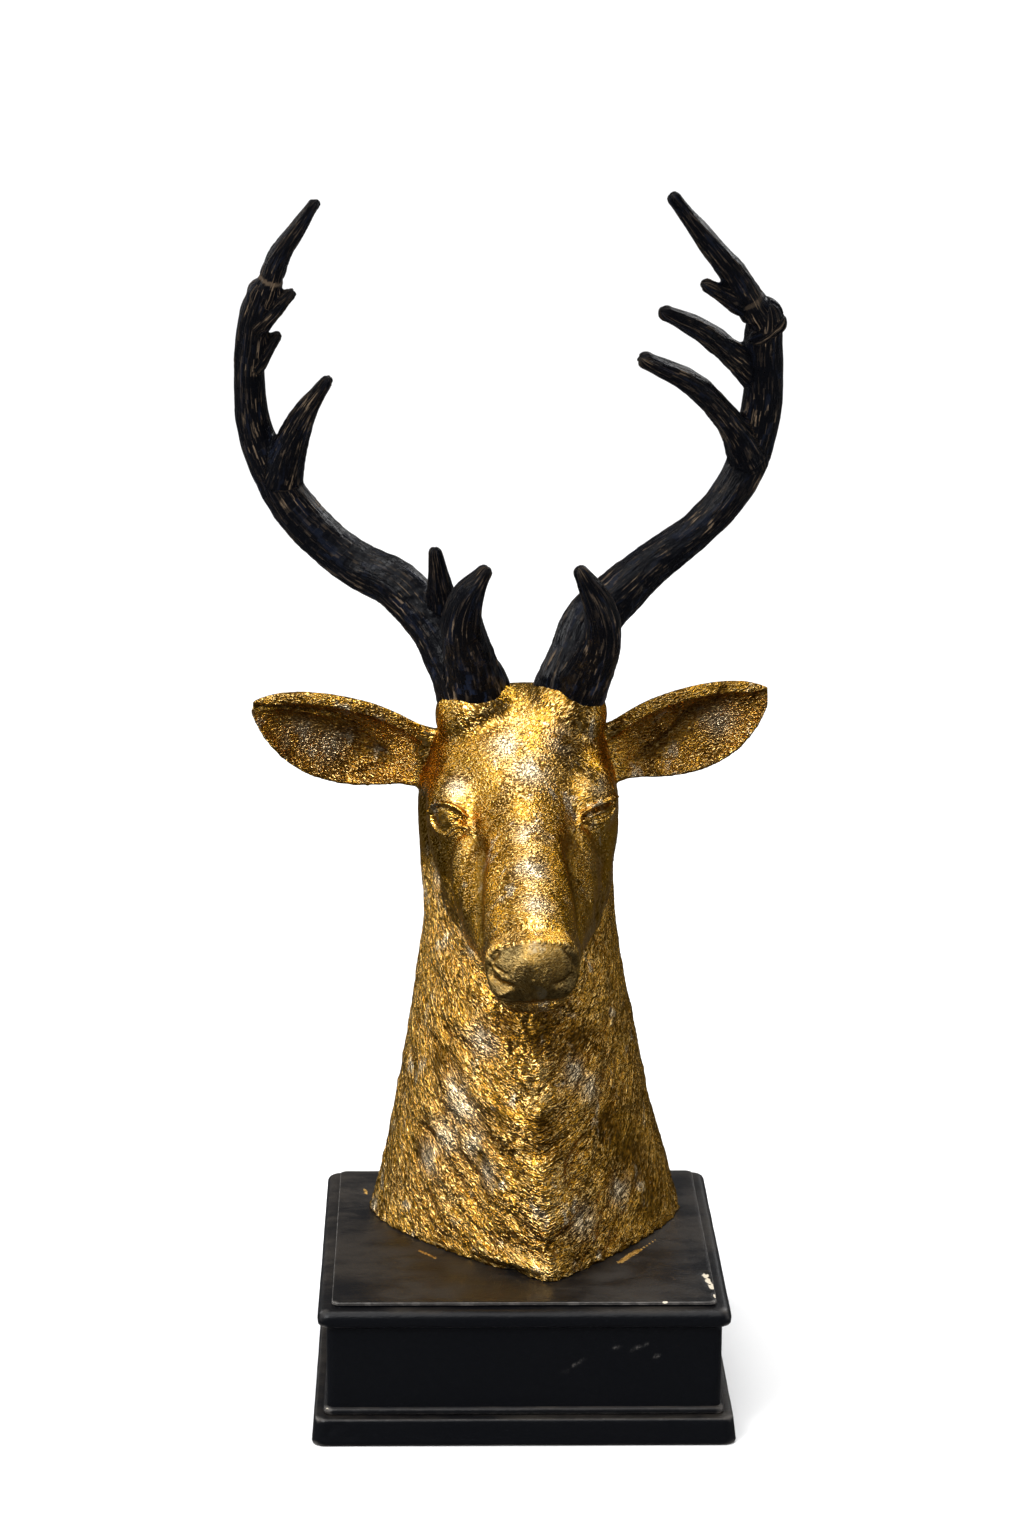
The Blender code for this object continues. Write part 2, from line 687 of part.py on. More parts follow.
def make_head(material):
    """The neck, head and ears, with a flat foot and two round sockets; also the skin before the sockets."""
    body = remeshed([head_form()], "head_form", SKIN_VOXEL, BODY_SMOOTHING)
    skin = remeshed([body, ear_form()], "head_skin", SKIN_VOXEL, SKIN_SMOOTHING)
    carve(skin)
    skin = reduced(skin, "head_skin", HEAD_FACES)
    head = add_object("head", skin.copy(), material)
    head.data.shade_smooth()
    combine(head, "DIFFERENCE", cutter("floor", floor_block()))
    for side in ANTLER_LIMBS:
        socket = peg_mesh(side, SOCKET_RADIUS + SOCKET_GAP, SOCKET_DEPTH + SOCKET_GAP, 2 * SOCKET_DEPTH)
        combine(head, "DIFFERENCE", cutter(f"socket_{side}", socket))
    return head, skin


def make_antler(side, skin, material):
    """One antler: its limbs run together, trimmed to the skull and given a peg for the socket."""
    builder = bmesh.new()
    for points in ANTLER_LIMBS[side].values():
        rings = limb_rings(points)
        loft(builder, rings)
        x, y, z, radius = points[-1]
        place = Matrix.Translation((x, y, z))
        bmesh.ops.create_icosphere(builder, subdivisions=2, radius=radius, matrix=place)
    form = remeshed([mesh_from(builder, f"limbs_{side}")], f"limbs_{side}", ANTLER_VOXEL, SKIN_SMOOTHING)
    form = reduced(form, f"limbs_{side}", ANTLER_FACES)
    antler = add_object(f"antler_{side}", form, material)
    antler.data.shade_smooth()
    skull = cutter(f"skull_{side}", skin.copy())
    swell = skull.modifiers.new("gap", "DISPLACE")
    swell.mid_level = 0.0
    swell.strength = SOCKET_GAP
    combine(antler, "DIFFERENCE", skull)
    peg = peg_mesh(side, SOCKET_RADIUS, SOCKET_DEPTH, SOCKET_DEPTH)
    combine(antler, "UNION", cutter(f"peg_{side}", peg))
    return antler


def main():
    clear_scene()
    gold = finish_material("gilding", GOLD, 0.42, 0.9)
    black = finish_material("antler_black", ANTLER_BLACK, 0.35, 0.0)
    satin = finish_material("plinth_black", PLINTH_BLACK, 0.5, 0.0)
    make_plinth(satin)
    head, skin = make_head(gold)
    for side in ANTLER_LIMBS:
        make_antler(side, skin, black)


main()
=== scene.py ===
"""Looks of the resin stag head statue: gilded neck and head, black antlers, black moulded plinth.

Metres, +Z up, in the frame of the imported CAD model. The stag faces -Y and +X is on the viewer's right.
"""

import math

import bmesh
import bpy
import numpy as np
from mathutils import Matrix, Vector, noise


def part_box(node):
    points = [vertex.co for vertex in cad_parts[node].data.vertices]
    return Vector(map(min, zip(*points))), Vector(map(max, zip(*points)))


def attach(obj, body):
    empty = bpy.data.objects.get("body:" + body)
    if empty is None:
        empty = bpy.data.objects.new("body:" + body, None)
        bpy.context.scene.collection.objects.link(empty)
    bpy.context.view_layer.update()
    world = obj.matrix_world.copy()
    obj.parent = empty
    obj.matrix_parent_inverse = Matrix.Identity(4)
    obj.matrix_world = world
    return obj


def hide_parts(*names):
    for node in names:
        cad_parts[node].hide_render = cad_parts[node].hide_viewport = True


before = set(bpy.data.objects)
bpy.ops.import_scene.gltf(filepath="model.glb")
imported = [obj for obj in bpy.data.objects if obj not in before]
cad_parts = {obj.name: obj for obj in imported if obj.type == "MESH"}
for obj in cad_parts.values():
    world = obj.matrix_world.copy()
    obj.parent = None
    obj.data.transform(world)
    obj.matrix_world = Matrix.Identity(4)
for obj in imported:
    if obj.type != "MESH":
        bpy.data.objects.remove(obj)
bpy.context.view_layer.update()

# Plinth: the waist's plan, then each member of the profile from the floor up
PLINTH_WIDTH = 0.3100
PLINTH_DEPTH = 0.3180
PLINTH_CORNER_RADIUS = 0.0070
SLAB_HEIGHT = 0.0224
SLAB_PROJECTION = 0.0118
SLAB_BATTER = 0.0020
SLAB_ROUNDING = 0.0026
BEAD_HEIGHT = 0.0063
BEAD_PROJECTION = 0.0030
BEAD_START = 0.4
WAIST_HEIGHT = 0.0640
COVE_HEIGHT = 0.0040
COVE_REACH = 0.75
MOULDING_HEIGHT = 0.0132
MOULDING_PROJECTION = 0.0070
MOULDING_NOSE = 0.45
QUIRK_HEIGHT = 0.0012
QUIRK_SETBACK = 0.0012
PANEL_THICKNESS = 0.0030
PANEL_SETBACK = 0.0040
PANEL_ROUNDING = 0.0012

# Figure: foot of the neck to the highest antler tip, its distance from the plinth's middle, its seat
FIGURE_HEIGHT = 0.8450
FIGURE_OFFSET = -0.0021
SEAT_GAP = 0.0003

PLINTH_HEIGHT = (
    SLAB_HEIGHT + BEAD_HEIGHT + WAIST_HEIGHT + COVE_HEIGHT + MOULDING_HEIGHT + QUIRK_HEIGHT + PANEL_THICKNESS
)

# The figure is laid out in its own units, 845 to its height, which makes a unit one millimetre at the
# modelled size. Figure space has its origin on the seat of the neck, in the middle of the plinth's top.
UNITS_IN_HEIGHT = 845.0
UNIT = FIGURE_HEIGHT / UNITS_IN_HEIGHT

# Neck sections from the foot up: height, half width, middle, keel, front, widest place, back, sharpness
NECK_SECTIONS = (
    (-14, 131, 6, 25, -118, 60, 142, 1.00),
    (0, 130, 7, 25, -115, 60, 140, 1.00),
    (56, 116, 7, 20, -109, 56, 133, 0.80),
    (108, 103.6, 4.1, 15, -99, 50, 126, 0.55),
    (160, 94.1, 3.1, 10, -87, 45, 119, 0.35),
    (212, 85, 1.5, 6, -72, 42, 112, 0.20),
    (261, 78, 1, 3, -57, 40, 106, 0.10),
    (304, 78.2, -1.4, 0, -44, 38, 101, 0.00),
    (345, 81.5, -0.6, 0, -30, 36, 98, 0.00),
    (370, 80, -0.8, 0, -20, 34, 95, 0.00),
    (394, 72, -1, 0, -10, 34, 90, 0.00),
    (415, 58, -1, 0, 2, 34, 82, 0.00),
    (434, 32, -1, 0, 16, 36, 64, 0.00),
)

# How a full sharpness of 1 draws the front of a neck section to its keel
KEEL_POWER = 0.53
KEEL_SQUASH = 0.5
KEEL_REACH = 0.6

# Head space: +X sideways, -Y forward along the face, +Z up out of the bridge of the nose
HEAD_ORIGIN = (-0.3, 20.0, 389.0)
HEAD_PITCH = math.radians(28.5)
HEAD_ROLL = math.radians(3.2)
HEAD_YAW = math.radians(-0.1)

# Head sections from the back of the skull to the lips: distance forward, top, bottom, and the half
# widths near the top, in the middle and near the bottom
HEAD_SECTIONS = (
    (-64, 8, -26, 16, 28, 22),
    (-57, 34, -46, 38, 51, 44),
    (-38, 55, -62, 54, 65, 56),
    (-10, 64, -74, 63, 72, 60),
    (25, 64, -82, 61, 76, 62),
    (56, 60, -86, 50, 76, 66),
    (80, 54, -85, 37, 69, 69),
    (105, 51, -82, 32, 63, 71),
    (132, 50, -76, 31, 57, 67),
    (160, 50, -63, 31, 51, 59),
    (195, 51, -45, 31, 42, 46),
    (226, 53, -28, 31, 37, 38),
    (250, 52, -17, 30, 35, 32),
    (268, 45, -8, 27, 32, 26),
    (279, 33, -1, 19, 24, 18),
)

HEAD_ROUNDING = 0.72

# Eyes in head space: paths of the upper and the lower lid from the outer corner to the inner one,
# then the middle of the pupil. The right eye is carved narrower than the left.
EYES = {
    "left": (
        (
            (-72, -69, 17), (-67.5, -71, 26), (-58, -77, 32.5), (-48, -84, 31), (-43, -92, 26),
            (-38, -103, 24),
        ),
        (
            (-72, -69, 17), (-71, -76, 13), (-66.5, -82, 8.5), (-58.5, -90, 11), (-50, -91, 17),
            (-43, -93, 24),
        ),
        (-61, -82, 22),
    ),
    "right": (
        ((76, -62, 17), (68, -71, 22.5), (57, -82, 27), (46, -89, 26), (41, -98, 22)),
        ((76, -62, 17), (73.5, -72, 14), (67.5, -79, 12.5), (56, -88, 16), (48, -91, 19.5), (44, -94, 22)),
        (63, -78, 21),
    ),
}

# How an eye is carved: spread and lift of each form, and the half width and lift of each lid
EYE_HOLLOW_SPREAD = (19, 17, 13)
EYE_HOLLOW_SINK = 3.6
EYEBALL_SPREAD = (10, 10, 8)
EYEBALL_LIFT = 2.6
PUPIL_SPREAD = (3, 3, 3)
PUPIL_SINK = 1.0
UPPER_LID = (1.8, 3.4)
LOWER_LID = (1.5, 1.4)

# Lines carved on both halves of the face, on the left half's mirror image: half width, lift, path
BRIDGE_VALLEY = ((40, -112, 25), (35, -128, 28), (35, -155, 23), (35.5, -186, 15), (38, -208, 12))
FACE_LINES = (
    (8.0, -3.6, BRIDGE_VALLEY),
    (7.0, 2.6, ((42, -107, 16), (45, -121, 10.5), (47, -142, 6), (46, -160, 0))),
    (12.0, -2.6, ((62, -100, -18), (58, -124, -22), (52, -150, -22))),
    (2.6, -4.5, ((27, -258, 46), (31, -260, 38), (30, -264, 30), (25, -271, 27), (17, -277, 28))),
    (2.6, 2.2, ((32, -250, 46), (36, -254, 36), (35, -257, 26), (30, -264, 20), (22, -273, 19))),
    (2.6, -1.8, ((37, -240, 42), (39, -244, 30), (38, -248, 18), (33, -257, 11))),
    (2.4, 1.4, ((0, -254, 52), (12, -253, 51), (23, -252, 48), (29, -256, 45))),
    (2.4, -2.4, ((0, -282, 30), (0, -280, 14))),
    (2.4, -4.2, (
        (0, -280, 10), (12, -279, 11), (24, -274, 11), (33, -262, 10), (38, -240, 3), (41, -210, -5),
    )),
    (3.4, 1.8, ((0, -276, 3), (14, -273, 3), (26, -262, 2))),
)

# Rounded masses that fill the head out, in head space: middle, then half sizes. Those of one side are
# repeated on the other: the eye's orbit, the jaw, and the swelling of the upper lip.
SIDE_MASSES = (
    ((48, -56, 12), (28, 40, 30)),
    ((41, -84, -42), (28, 56, 34)),
    ((21, -250, 30), (15, 20, 19)),
)
MIDDLE_MASSES = (
    ((0, -255, 34), (27, 22, 18)),
    ((0, -244, -7), (26, 25, 9)),
)

# The swellings of the skull that carry the antlers, in figure space
PEDICLE = (34.5, 9, 433)
PEDICLE_SHIFT = 0.7
PEDICLE_RADII = (35, 37, 34)

# Ear sections from the skull to the tip: share of the length, half height, depth of the shell
EAR_SECTIONS = (
    (-0.12, 30, 19),
    (0.00, 29, 20),
    (0.12, 29, 20),
    (0.24, 35, 19),
    (0.38, 40, 18),
    (0.52, 41, 17),
    (0.66, 38.5, 15),
    (0.79, 32, 12),
    (0.90, 22, 9),
    (0.97, 12, 6),
    (1.01, 5, 4),
)
EAR_SAG = 7.0
EAR_SAG_LATE = 1.5
EAR_TURN = math.radians(20.0)

# An ear's shell: its wall, its thicker rolled rim, the height under which both get thinner, and the share of
# the length over which its hollow opens
EAR_WALL = 7.5
EAR_RIM = 3.0
EAR_RIM_SHARPNESS = 6
EAR_THIN = 22
EAR_FLOOR = 0.8
EAR_STEPS = 12
EAR_CLOSED = 5.0
EAR_OPENS = (0.02, 0.2)
# Root and tip of each ear in figure space, and its size
EARS = {
    "left": ((-70, 34, 389), (-214.5, 42, 431.5), 1.0),
    "right": ((67, 34, 392), (200.5, 42, 443.7), 0.97),
}

# Antler limbs, each a smooth line through points with their own radius: x, y, z, radius
ANTLER_LIMBS = {
    "left": {
        "beam": (
            (-36, 14, 420, 27), (-37.8, 15, 450, 33.5), (-54, 24, 479, 26), (-71, 33, 504, 22.5),
            (-99, 46, 531, 22), (-137.5, 58, 550.2, 20.4), (-182, 67, 591.6, 19.5), (-209.2, 65, 647, 16),
            (-215, 54, 691, 13.8), (-210, 32, 741, 13.8), (-203, 18, 767, 12),
        ),
        "top": (
            (-199.5, 18, 765, 11.8), (-188, 6, 797, 10.2), (-173.5, -4, 818.5, 8), (-160.5, -13, 837.5, 5.4),
        ),
        "middle": (
            (-191, 66, 616, 20), (-180.5, 50, 648, 14.4), (-169.5, 32, 672, 10.6), (-152.5, 10, 699, 5.7),
        ),
        "nub": ((-208, 42, 708, 8.5), (-192, 34, 731, 5)),
        "spur": ((-204, 26, 742, 10.5), (-181, 12, 766, 5.8)),
        "brow": (
            (-31.5, 13, 440, 28), (-41.8, -17, 487, 22), (-47, -42, 518, 17.8), (-42.7, -55, 541, 14.2),
            (-30.6, -61, 560.5, 6.8),
        ),
        "bez": ((-60, 30, 508, 15), (-64.5, 12, 540, 10.4), (-67.5, -2, 565.5, 6)),
    },
    "right": {
        "beam": (
            (35, 14, 420, 27), (38.5, 15, 450, 32), (45.8, 22, 477, 26), (57, 32, 504, 24.8),
            (76.5, 40, 523.3, 22.4), (104.5, 52, 546.6, 19.2), (138.8, 62, 569.6, 17.3),
            (165.3, 67, 597.3, 17),
            (182.8, 68, 630, 18), (192.4, 60, 678, 17.6), (190.4, 44, 724, 17), (190.5, 30, 749, 15),
        ),
        "top": ((184, 28, 750, 14.5), (165.5, 14, 781, 12.5), (140.5, 0, 812, 9.6), (115.5, -12, 843, 6.2)),
        "knob": ((188, 34, 737, 14), (197.8, 30, 743.3, 10.5)),
        "upper": ((186, 55, 699, 15), (166.5, 38, 717.5, 12), (139, 14, 739.5, 10), (111, -6, 754.5, 6.8)),
        "lower": (
            (183, 66, 632, 19), (165, 48, 662.5, 12.5), (134.5, 20, 695.7, 10.8), (95.5, -8, 718.2, 7.3),
        ),
        "spur": ((172, 22, 758, 11), (142.5, 0, 775.5, 6)),
        "brow": (
            (41, 13, 440, 26), (56, -17, 481, 20.7), (63, -40, 508, 16.4), (58.6, -53, 534, 13.8),
            (45, -61, 560.5, 6.8),
        ),
    },
}
TINE_FLATTENING = 0.92

# Fur of the neck, in figure units: the slant of the locks towards the keel, the size and lift of a tuft,
# of the broad swags and of the folds between them, and where the carving starts, ends and gets plainer
FUR_SLANT = math.radians(38.0)
TUFT_WIDTH = 13.0
TUFT_LENGTH = 40.0
TUFT_LIFT = 2.6
SWAG_SIZE = 52.0
SWAG_LIFT = 2.0
FOLD_SPACING = 28.6
FOLD_DROOP = 0.7
FOLD_LIFT = 0.45
FUR_TOP = 300.0
FUR_FADE = 90.0
FUR_FOOT = 4.0
FUR_FOOT_FADE = 16.0
FUR_FRONT = 60.0
PLAIN_BACK = 0.35

# Fineness of the surfaces, in figure units, and the most triangles that the head may have
HEAD_VOXEL = 1.6
ANTLER_VOXEL = 1.5
HEAD_SOLID_VOXEL = 2.6
ANTLER_SOLID_VOXEL = 2.8
BODY_SMOOTHING = 26
SKIN_SMOOTHING = 3
HEAD_TRIANGLES = 190000
TUBE_SIDES = 32

# Detail finer than the solids carry: half width, lift, path. The ears' is in figure units.
EAR_LINES = (
    (1.5, -2.6, (
        (-211, 44, 431), (-196, 40, 433), (-176, 41, 431), (-162, 41, 429), (-149, 41, 426),
        (-136, 44, 419), (-123, 48, 407), (-112, 52, 396), (-103, 52, 387),
    )),
    (1.3, 1.3, (
        (-209, 44, 428), (-194, 40, 430), (-175, 41, 428), (-160, 41, 425), (-147, 41, 422),
        (-134, 44, 415), (-121, 48, 403),
    )),
    (2.2, 2.4, ((-136, 55, 375), (-130, 55, 378), (-123, 55, 382), (-112, 54, 385), (-106, 52, 387))),
    (2.8, -2.4, ((-128, 52, 395), (-118, 52, 393), (-108, 52, 389))),
    (1.6, -2.4, (
        (165, 32, 450), (151, 38, 440), (134, 47, 423), (123, 51, 409), (110, 53, 398), (96, 49, 389),
    )),
    (3.2, -2.4, ((103, 52, 390), (115, 53, 395))),
    (2.0, 2.0, ((102, 52, 391), (116, 53, 385), (130, 53, 384), (146, 54, 386))),
    (7.0, -2.4, ((-190, 44, 422), (-168, 47, 418), (-147, 50, 412), (-130, 54, 402))),
    (7.0, -2.4, ((158, 42, 436), (142, 46, 424), (126, 52, 406), (113, 54, 394))),
)

# Detail of the eyes and the muzzle, in head space: half width, lift, path
FACE_DETAIL = (
    (1.2, 1.2, (
        (-75, -62, 24), (-74, -70, 20), (-72, -77, 13), (-68, -83, 10), (-62, -90, 12), (-58, -90, 15),
        (-54, -91, 20), (-49, -93, 23), (-44, -97, 24), (-39, -105, 24),
    )),
    (1.2, 1.2, (
        (-70, -70, 26), (-68, -73, 28), (-64, -76, 32), (-59, -79, 33), (-52, -84, 33), (-48, -87, 32),
        (-43, -90, 30), (-42, -97, 27),
    )),
    (1.2, -0.5, ((-72, -60, 25), (-69, -66, 29), (-64, -75, 35), (-59, -78, 36), (-53, -82, 37))),
    (1.1, -1.9, ((-52, -88, 24), (-47, -92, 25), (-43, -98, 26), (-37, -106, 25))),
    (9.0, 4.4, ((-51, -106, 12), (-57, -122, 3), (-58, -140, -5))),
    (8.0, 2.4, ((50, -104, 12), (54, -122, 4), (55, -140, -3))),
    (1.3, 1.1, ((46, -93, 28), (53, -88, 30), (59, -81, 30), (68, -68, 27))),
    (1.2, -2.0, ((46, -95, 26), (55, -88, 26), (66, -78, 23), (73, -70, 19))),
    (1.4, 1.3, ((48, -95, 23), (56, -88, 23), (66, -78, 20))),
    (1.2, 1.0, ((47, -97, 25), (55, -91, 21), (67, -81, 17), (73, -71, 15))),
    (1.1, -1.4, ((-31, -256, 39), (-28, -263, 37), (-23, -269, 36), (-19, -272, 36))),
    (1.0, 0.9, ((-31, -255, 40), (-28, -258, 35), (-26, -267, 35), (-22, -272, 33))),
    (1.2, -1.5, ((-31, -259, 33), (-30, -264, 27), (-22, -270, 26), (-18, -272, 27))),
    (1.3, 1.0, ((-34, -260, 27), (-31, -270, 22), (-24, -277, 21), (-18, -277, 24))),
    (1.1, -1.2, ((-31, -272, 19), (-23, -278, 17), (-18, -279, 16))),
    (1.0, 0.9, ((25, -257, 41), (32, -256, 37), (34, -258, 31), (27, -264, 28))),
    (1.2, 0.9, ((27, -267, 32), (32, -264, 26))),
    (1.4, -1.4, ((29, -260, 33), (31, -261, 29))),
    (1.3, -1.2, ((26, -268, 25), (30, -268, 25))),
    (1.1, -1.0, ((-2, -278, 20), (0, -275, 10))),
    (1.0, -0.8, (
        (-29, -256, 39), (-25, -256, 45), (-19, -255, 48), (-11, -255, 50), (-2, -256, 52), (7, -257, 51),
        (15, -256, 49), (22, -256, 47), (27, -255, 44), (30, -255, 41),
    )),
)
MUZZLE_SHARE = 0.55
MUZZLE_FRONT = -235

# Where each of the gilding's masks starts and where it is whole, and the width of its lines of painted shade
SKULL_LEVEL = (296, 336)
MUZZLE_LEVEL = (222, 242)
MUZZLE_FORWARD = (92, 112)
EAR_ASIDE = (76, 90)
EAR_LEVEL = (345, 360)
EYE_SMOOTH = (9, 15)
EYE_SHADE = (4, 9)
PAD_FORWARD = (252, 257)
PAD_LEVEL = (10, 16)
FOOT_SHADE_LEVEL = (1.0, 5.0)
FOOT_SHADE_SPREAD = (-0.1, 0.15)
VALLEY_SHADE = 7.0
EAR_SHADE = 2.0

# Where the head's skin is split finer before carving, and how far each measure of its hollows looks
FINER_EYES = 30
FINEST_EYES = 20
FINER_MUZZLE = (-232, -30)
FINE_STEPS = 5
BROAD_STEPS = 60

# Worn silvery places, in figure units: place, size. Some of them, such as the band along the jaw's edge, are
# painted highlights.
WORN_AND_HIGHLIT_PLACES = (
    (-31, -62, 185, 12), (-52, -49, 138, 12), (-47, -54, 125, 14), (-60, -39, 94, 14), (-37, -64, 97, 12),
    (-27, -72, 78, 10), (56, -61, 144, 11), (45, -70, 158, 10), (52, -81, 40, 13), (-72, -24, 71, 12),
    (82, -39, 51, 11), (9, -193, 333, 10), (6, -155, 350, 11), (5, -124, 367, 11), (-51, -57, 389, 8),
    (61, -54, 392, 9), (8, -66, 407, 13), (-13, -47, 421, 12), (30, -38, 423, 10), (-67, -10, 302, 7),
    (-59, -30, 295, 7), (-52, -36, 280, 7), (-45, -40, 266, 6), (-39, -41, 253, 5), (-177, 53, 406, 12),
    (-153, 55, 398, 11), (162, 52, 419, 12),
)

# Broad areas of painted highlight and painted shade on the gilding, in figure units: place, size
PAINTED_HIGHLIGHT_PLACES = (
    (15, -86, 166, 13), (15, -91, 146, 14), (31, -97, 80, 13), (27, -103, 57, 14), (0, -94, 16, 11),
    (19, -109, 9, 11), (8, -137, 360, 9), (10, -172, 342, 9), (12, -209, 324, 10), (-48, -86, 340, 7),
    (-1, -27, 437, 11), (54, -95, 340, 8), (56, -125, 325, 8), (-56, -43, 44, 10), (-12, -232, 272, 7),
    (6, -234, 270, 7), (22, -230, 273, 7),
)
PAINTED_SHADE_PLACES = (
    (15, -75, 193, 15), (-9, -71, 200, 12), (43, -61, 188, 13), (17, -94, 127, 9), (72, -50, 110, 13),
    (90, -20, 78, 20), (80, -35, 100, 14), (108, -3, 29, 18), (-16, -81, 128, 10), (-64, -29, 157, 11),
    (-80, -11, 75, 12), (-32, -68, 86, 8),
)

# The neck's foot, in figure units: lumps along its edge, and a notch beside the keel
FOOT_HEIGHT = 9.0
FOOT_LUMP = 7.0
FOOT_LIFT = 2.6
FOOT_NOTCH = ((-9, -92, 0), (7, 9, 6), -5.0)
FOOT_HEM = ((-45, -72, 10), (-24, -86, 9), (-4, -95, 9), (12, -104, 8)), 5.5, 2.6
# Size of the patches of painted shadow in the gap under the foot's edge
FOOT_SHADE_SIZE = 15.0

# Hair directions: on the neck the strokes rise away from the keel, steeper the further round they are
NECK_REACH = 85.0
NECK_AXIS = 45.0
HAIR_RISE = 0.70
HAIR_BEND = 0.0035
FACE_REACH = 45.0
FACE_AXIS = -5.0
FACE_SLANT = math.radians(-36.0)
LOCK_WIDTH = 9.0
LOCK_LENGTH = 27.0
LOCK_LIFT = 1.2
STRAND_WIDTH = 4.0
STRAND_LENGTH = 13.0
STRAND_LIFT = 0.5
DRIFT_WIDTH = 24.0
DRIFT_LENGTH = 75.0
DRIFT_LIFT = 2.6
DRIFT_FRONT = 40.0
FACE_STRAND_LIFT = 0.22
STRAND_SHIFT = 50
HAIR_LEVEL = 0.6
HAIR_FOOT = (0, 10)
HAIR_ALONG = (0.75, 0.66)
EAR_HAIR_RISE = 0.35
NOSE_BEND = (238, 256)
NOSE_BARE = (245, 258)

# Antler surface, in figure units
GROOVE_SINK = 1.3
GROOVES_ROUND = 1.7
GROOVE_LENGTH = 75.0
LUMP_SIZE = 15.0
LUMP_LIFT = 0.7
PEARL_SIZE = 5.0
PEARL_LIFT = 0.5
RING_AT = 14.0
RING_WIDTH = 1.1
RING_SINK = 0.9
GROOVE_GAIN = 2
PEARLS_END = (0.75, 0.3)
BASE_LEVEL = (485, 445)
GRAIN_STEPS = 10
LIMB_STEPS = 4
LIMB_GAP = 400
GRAIN_BATCH = 4000
ANTLER_FINE_STEPS = 8

# Plinth surface in metres: points along a side and round a corner, spacing of the rows, and its unevenness
SIDE_POINTS = 130
CORNER_POINTS = 8
ROW_SPACING = 0.0025
WOBBLE_SIZE = 0.028
WOBBLE = 0.0004
WOBBLE_LEVEL = (0.0, 0.004)

# How far the rows run in over the top, how a corner's radius follows its row, and what counts as an edge
TOP_INWARD = 0.100
LEAST_RUN = 0.0004
CORNER_GROWTH = 0.25
LEAST_CORNER = 0.002
SHARP_TURN = 700
CHIP_SHARPNESS = 1.5
CREASE = math.radians(50)

# Chips and dents of the plinth: place, half sizes, depth, all in metres, and how pale the mark is. The two
# marks on the panel's front top edge, a spot and a thin line, are painted highlights that are also dented
# slightly.
PLINTH_MARKS = (
    ((0.1452, -0.0960, 0.1141), (0.0030, 0.0060, 0.0030), 0.0011, 1.0),
    ((0.1466, -0.1080, 0.1141), (0.0026, 0.0070, 0.0030), 0.0009, 0.9),
    ((0.1488, -0.1200, 0.1141), (0.0026, 0.0080, 0.0030), 0.0010, 1.0),
    ((0.1500, -0.1420, 0.1139), (0.0022, 0.0050, 0.0030), 0.0009, 0.9),
    # Painted highlights along the panel's front top edge, dented slightly: a spot and a thin line
    ((0.1097, -0.1545, 0.1139), (0.0026, 0.0016, 0.0016), 0.0005, 0.9),
    ((0.0860, -0.1545, 0.1139), (0.0120, 0.0012, 0.0012), 0.0003, 0.3),
    ((-0.1521, -0.1700, 0.0134), (0.0040, 0.0030, 0.0030), 0.0009, 0.0),
    ((-0.1450, -0.1700, 0.0165), (0.0060, 0.0030, 0.0018), 0.0007, 0.0),
    ((-0.1365, -0.1701, 0.0086), (0.0035, 0.0030, 0.0025), 0.0008, 0.0),
    ((-0.1560, -0.1700, 0.0070), (0.0030, 0.0030, 0.0030), 0.0008, 0.0),
    ((0.1240, -0.1700, 0.0100), (0.0022, 0.0030, 0.0022), 0.0005, 0.0),
    ((-0.1560, -0.1600, 0.0285), (0.0040, 0.0040, 0.0014), 0.0006, 0.8),
    ((0.1620, -0.1640, 0.1040), (0.0040, 0.0040, 0.0030), 0.0008, 0.4),
)
# Scratches of the plinth: path in metres, half width
PLINTH_SCRATCHES = (
    (((0.0380, -0.1590, 0.0625), (0.0430, -0.1590, 0.0650), (0.0475, -0.1590, 0.0690)), 0.0005),
    (((0.0270, -0.1590, 0.0570), (0.0340, -0.1590, 0.0575)), 0.0006),
    (((0.0840, -0.1590, 0.0760), (0.0903, -0.1590, 0.0785), (0.0960, -0.1590, 0.0800)), 0.0006),
    (((0.0700, -0.1590, 0.0780), (0.0760, -0.1590, 0.0790)), 0.0005),
    (((0.1020, -0.1590, 0.0700), (0.1060, -0.1590, 0.0712)), 0.0005),
)
# Gold left on the plinth beside the neck: path in metres, half width
GOLD_SMEARS = (
    (((0.0787, -0.0672, 0.1141), (0.0893, -0.0490, 0.1141), (0.0952, -0.0400, 0.1141)), 0.0042),
    (((0.0962, -0.0396, 0.1141), (0.1033, -0.0281, 0.1141), (0.1097, -0.0165, 0.1141)), 0.0012),
    (((-0.0819, -0.0402, 0.1141), (-0.0755, -0.0492, 0.1141), (-0.0690, -0.0576, 0.1141)), 0.0024),
    (((-0.1280, 0.0950, 0.1141), (-0.1290, 0.1080, 0.1141)), 0.0020),
)


def mesh_arrays(mesh):
    """The points and the point normals of a mesh."""
    points = np.empty(len(mesh.vertices) * 3, np.float32)
    normals = np.empty(len(mesh.vertices) * 3, np.float32)
    mesh.vertices.foreach_get("co", points)
    mesh.vertex_normals.foreach_get("vector", normals)
    return points.reshape(-1, 3).astype(float), normals.reshape(-1, 3).astype(float)


def move_points(mesh, points):
    mesh.vertices.foreach_set("co", points.astype(np.float32).ravel())
    mesh.update()


def store(mesh, name, values):
    """Keeps one number or one vector a point for the material to read."""
    if values.ndim == 1:
        mesh.attributes.new(name, "FLOAT", "POINT").data.foreach_set("value", values.astype(np.float32))
        return
    layer = mesh.attributes.new(name, "FLOAT_VECTOR", "POINT")
    layer.data.foreach_set("vector", values.astype(np.float32).ravel())


def ease(values, low, high):
    """0 below low, 1 above high and a smooth step between them."""
    share = np.clip((values - low) / (high - low), 0, 1)
    return share * share * (3 - 2 * share)


def noise_at(places):
    return np.array([noise.noise(Vector(place)) for place in places])


def add_object(name, mesh):
    thing = bpy.data.objects.new(name, mesh)
    bpy.context.scene.collection.objects.link(thing)
    return thing


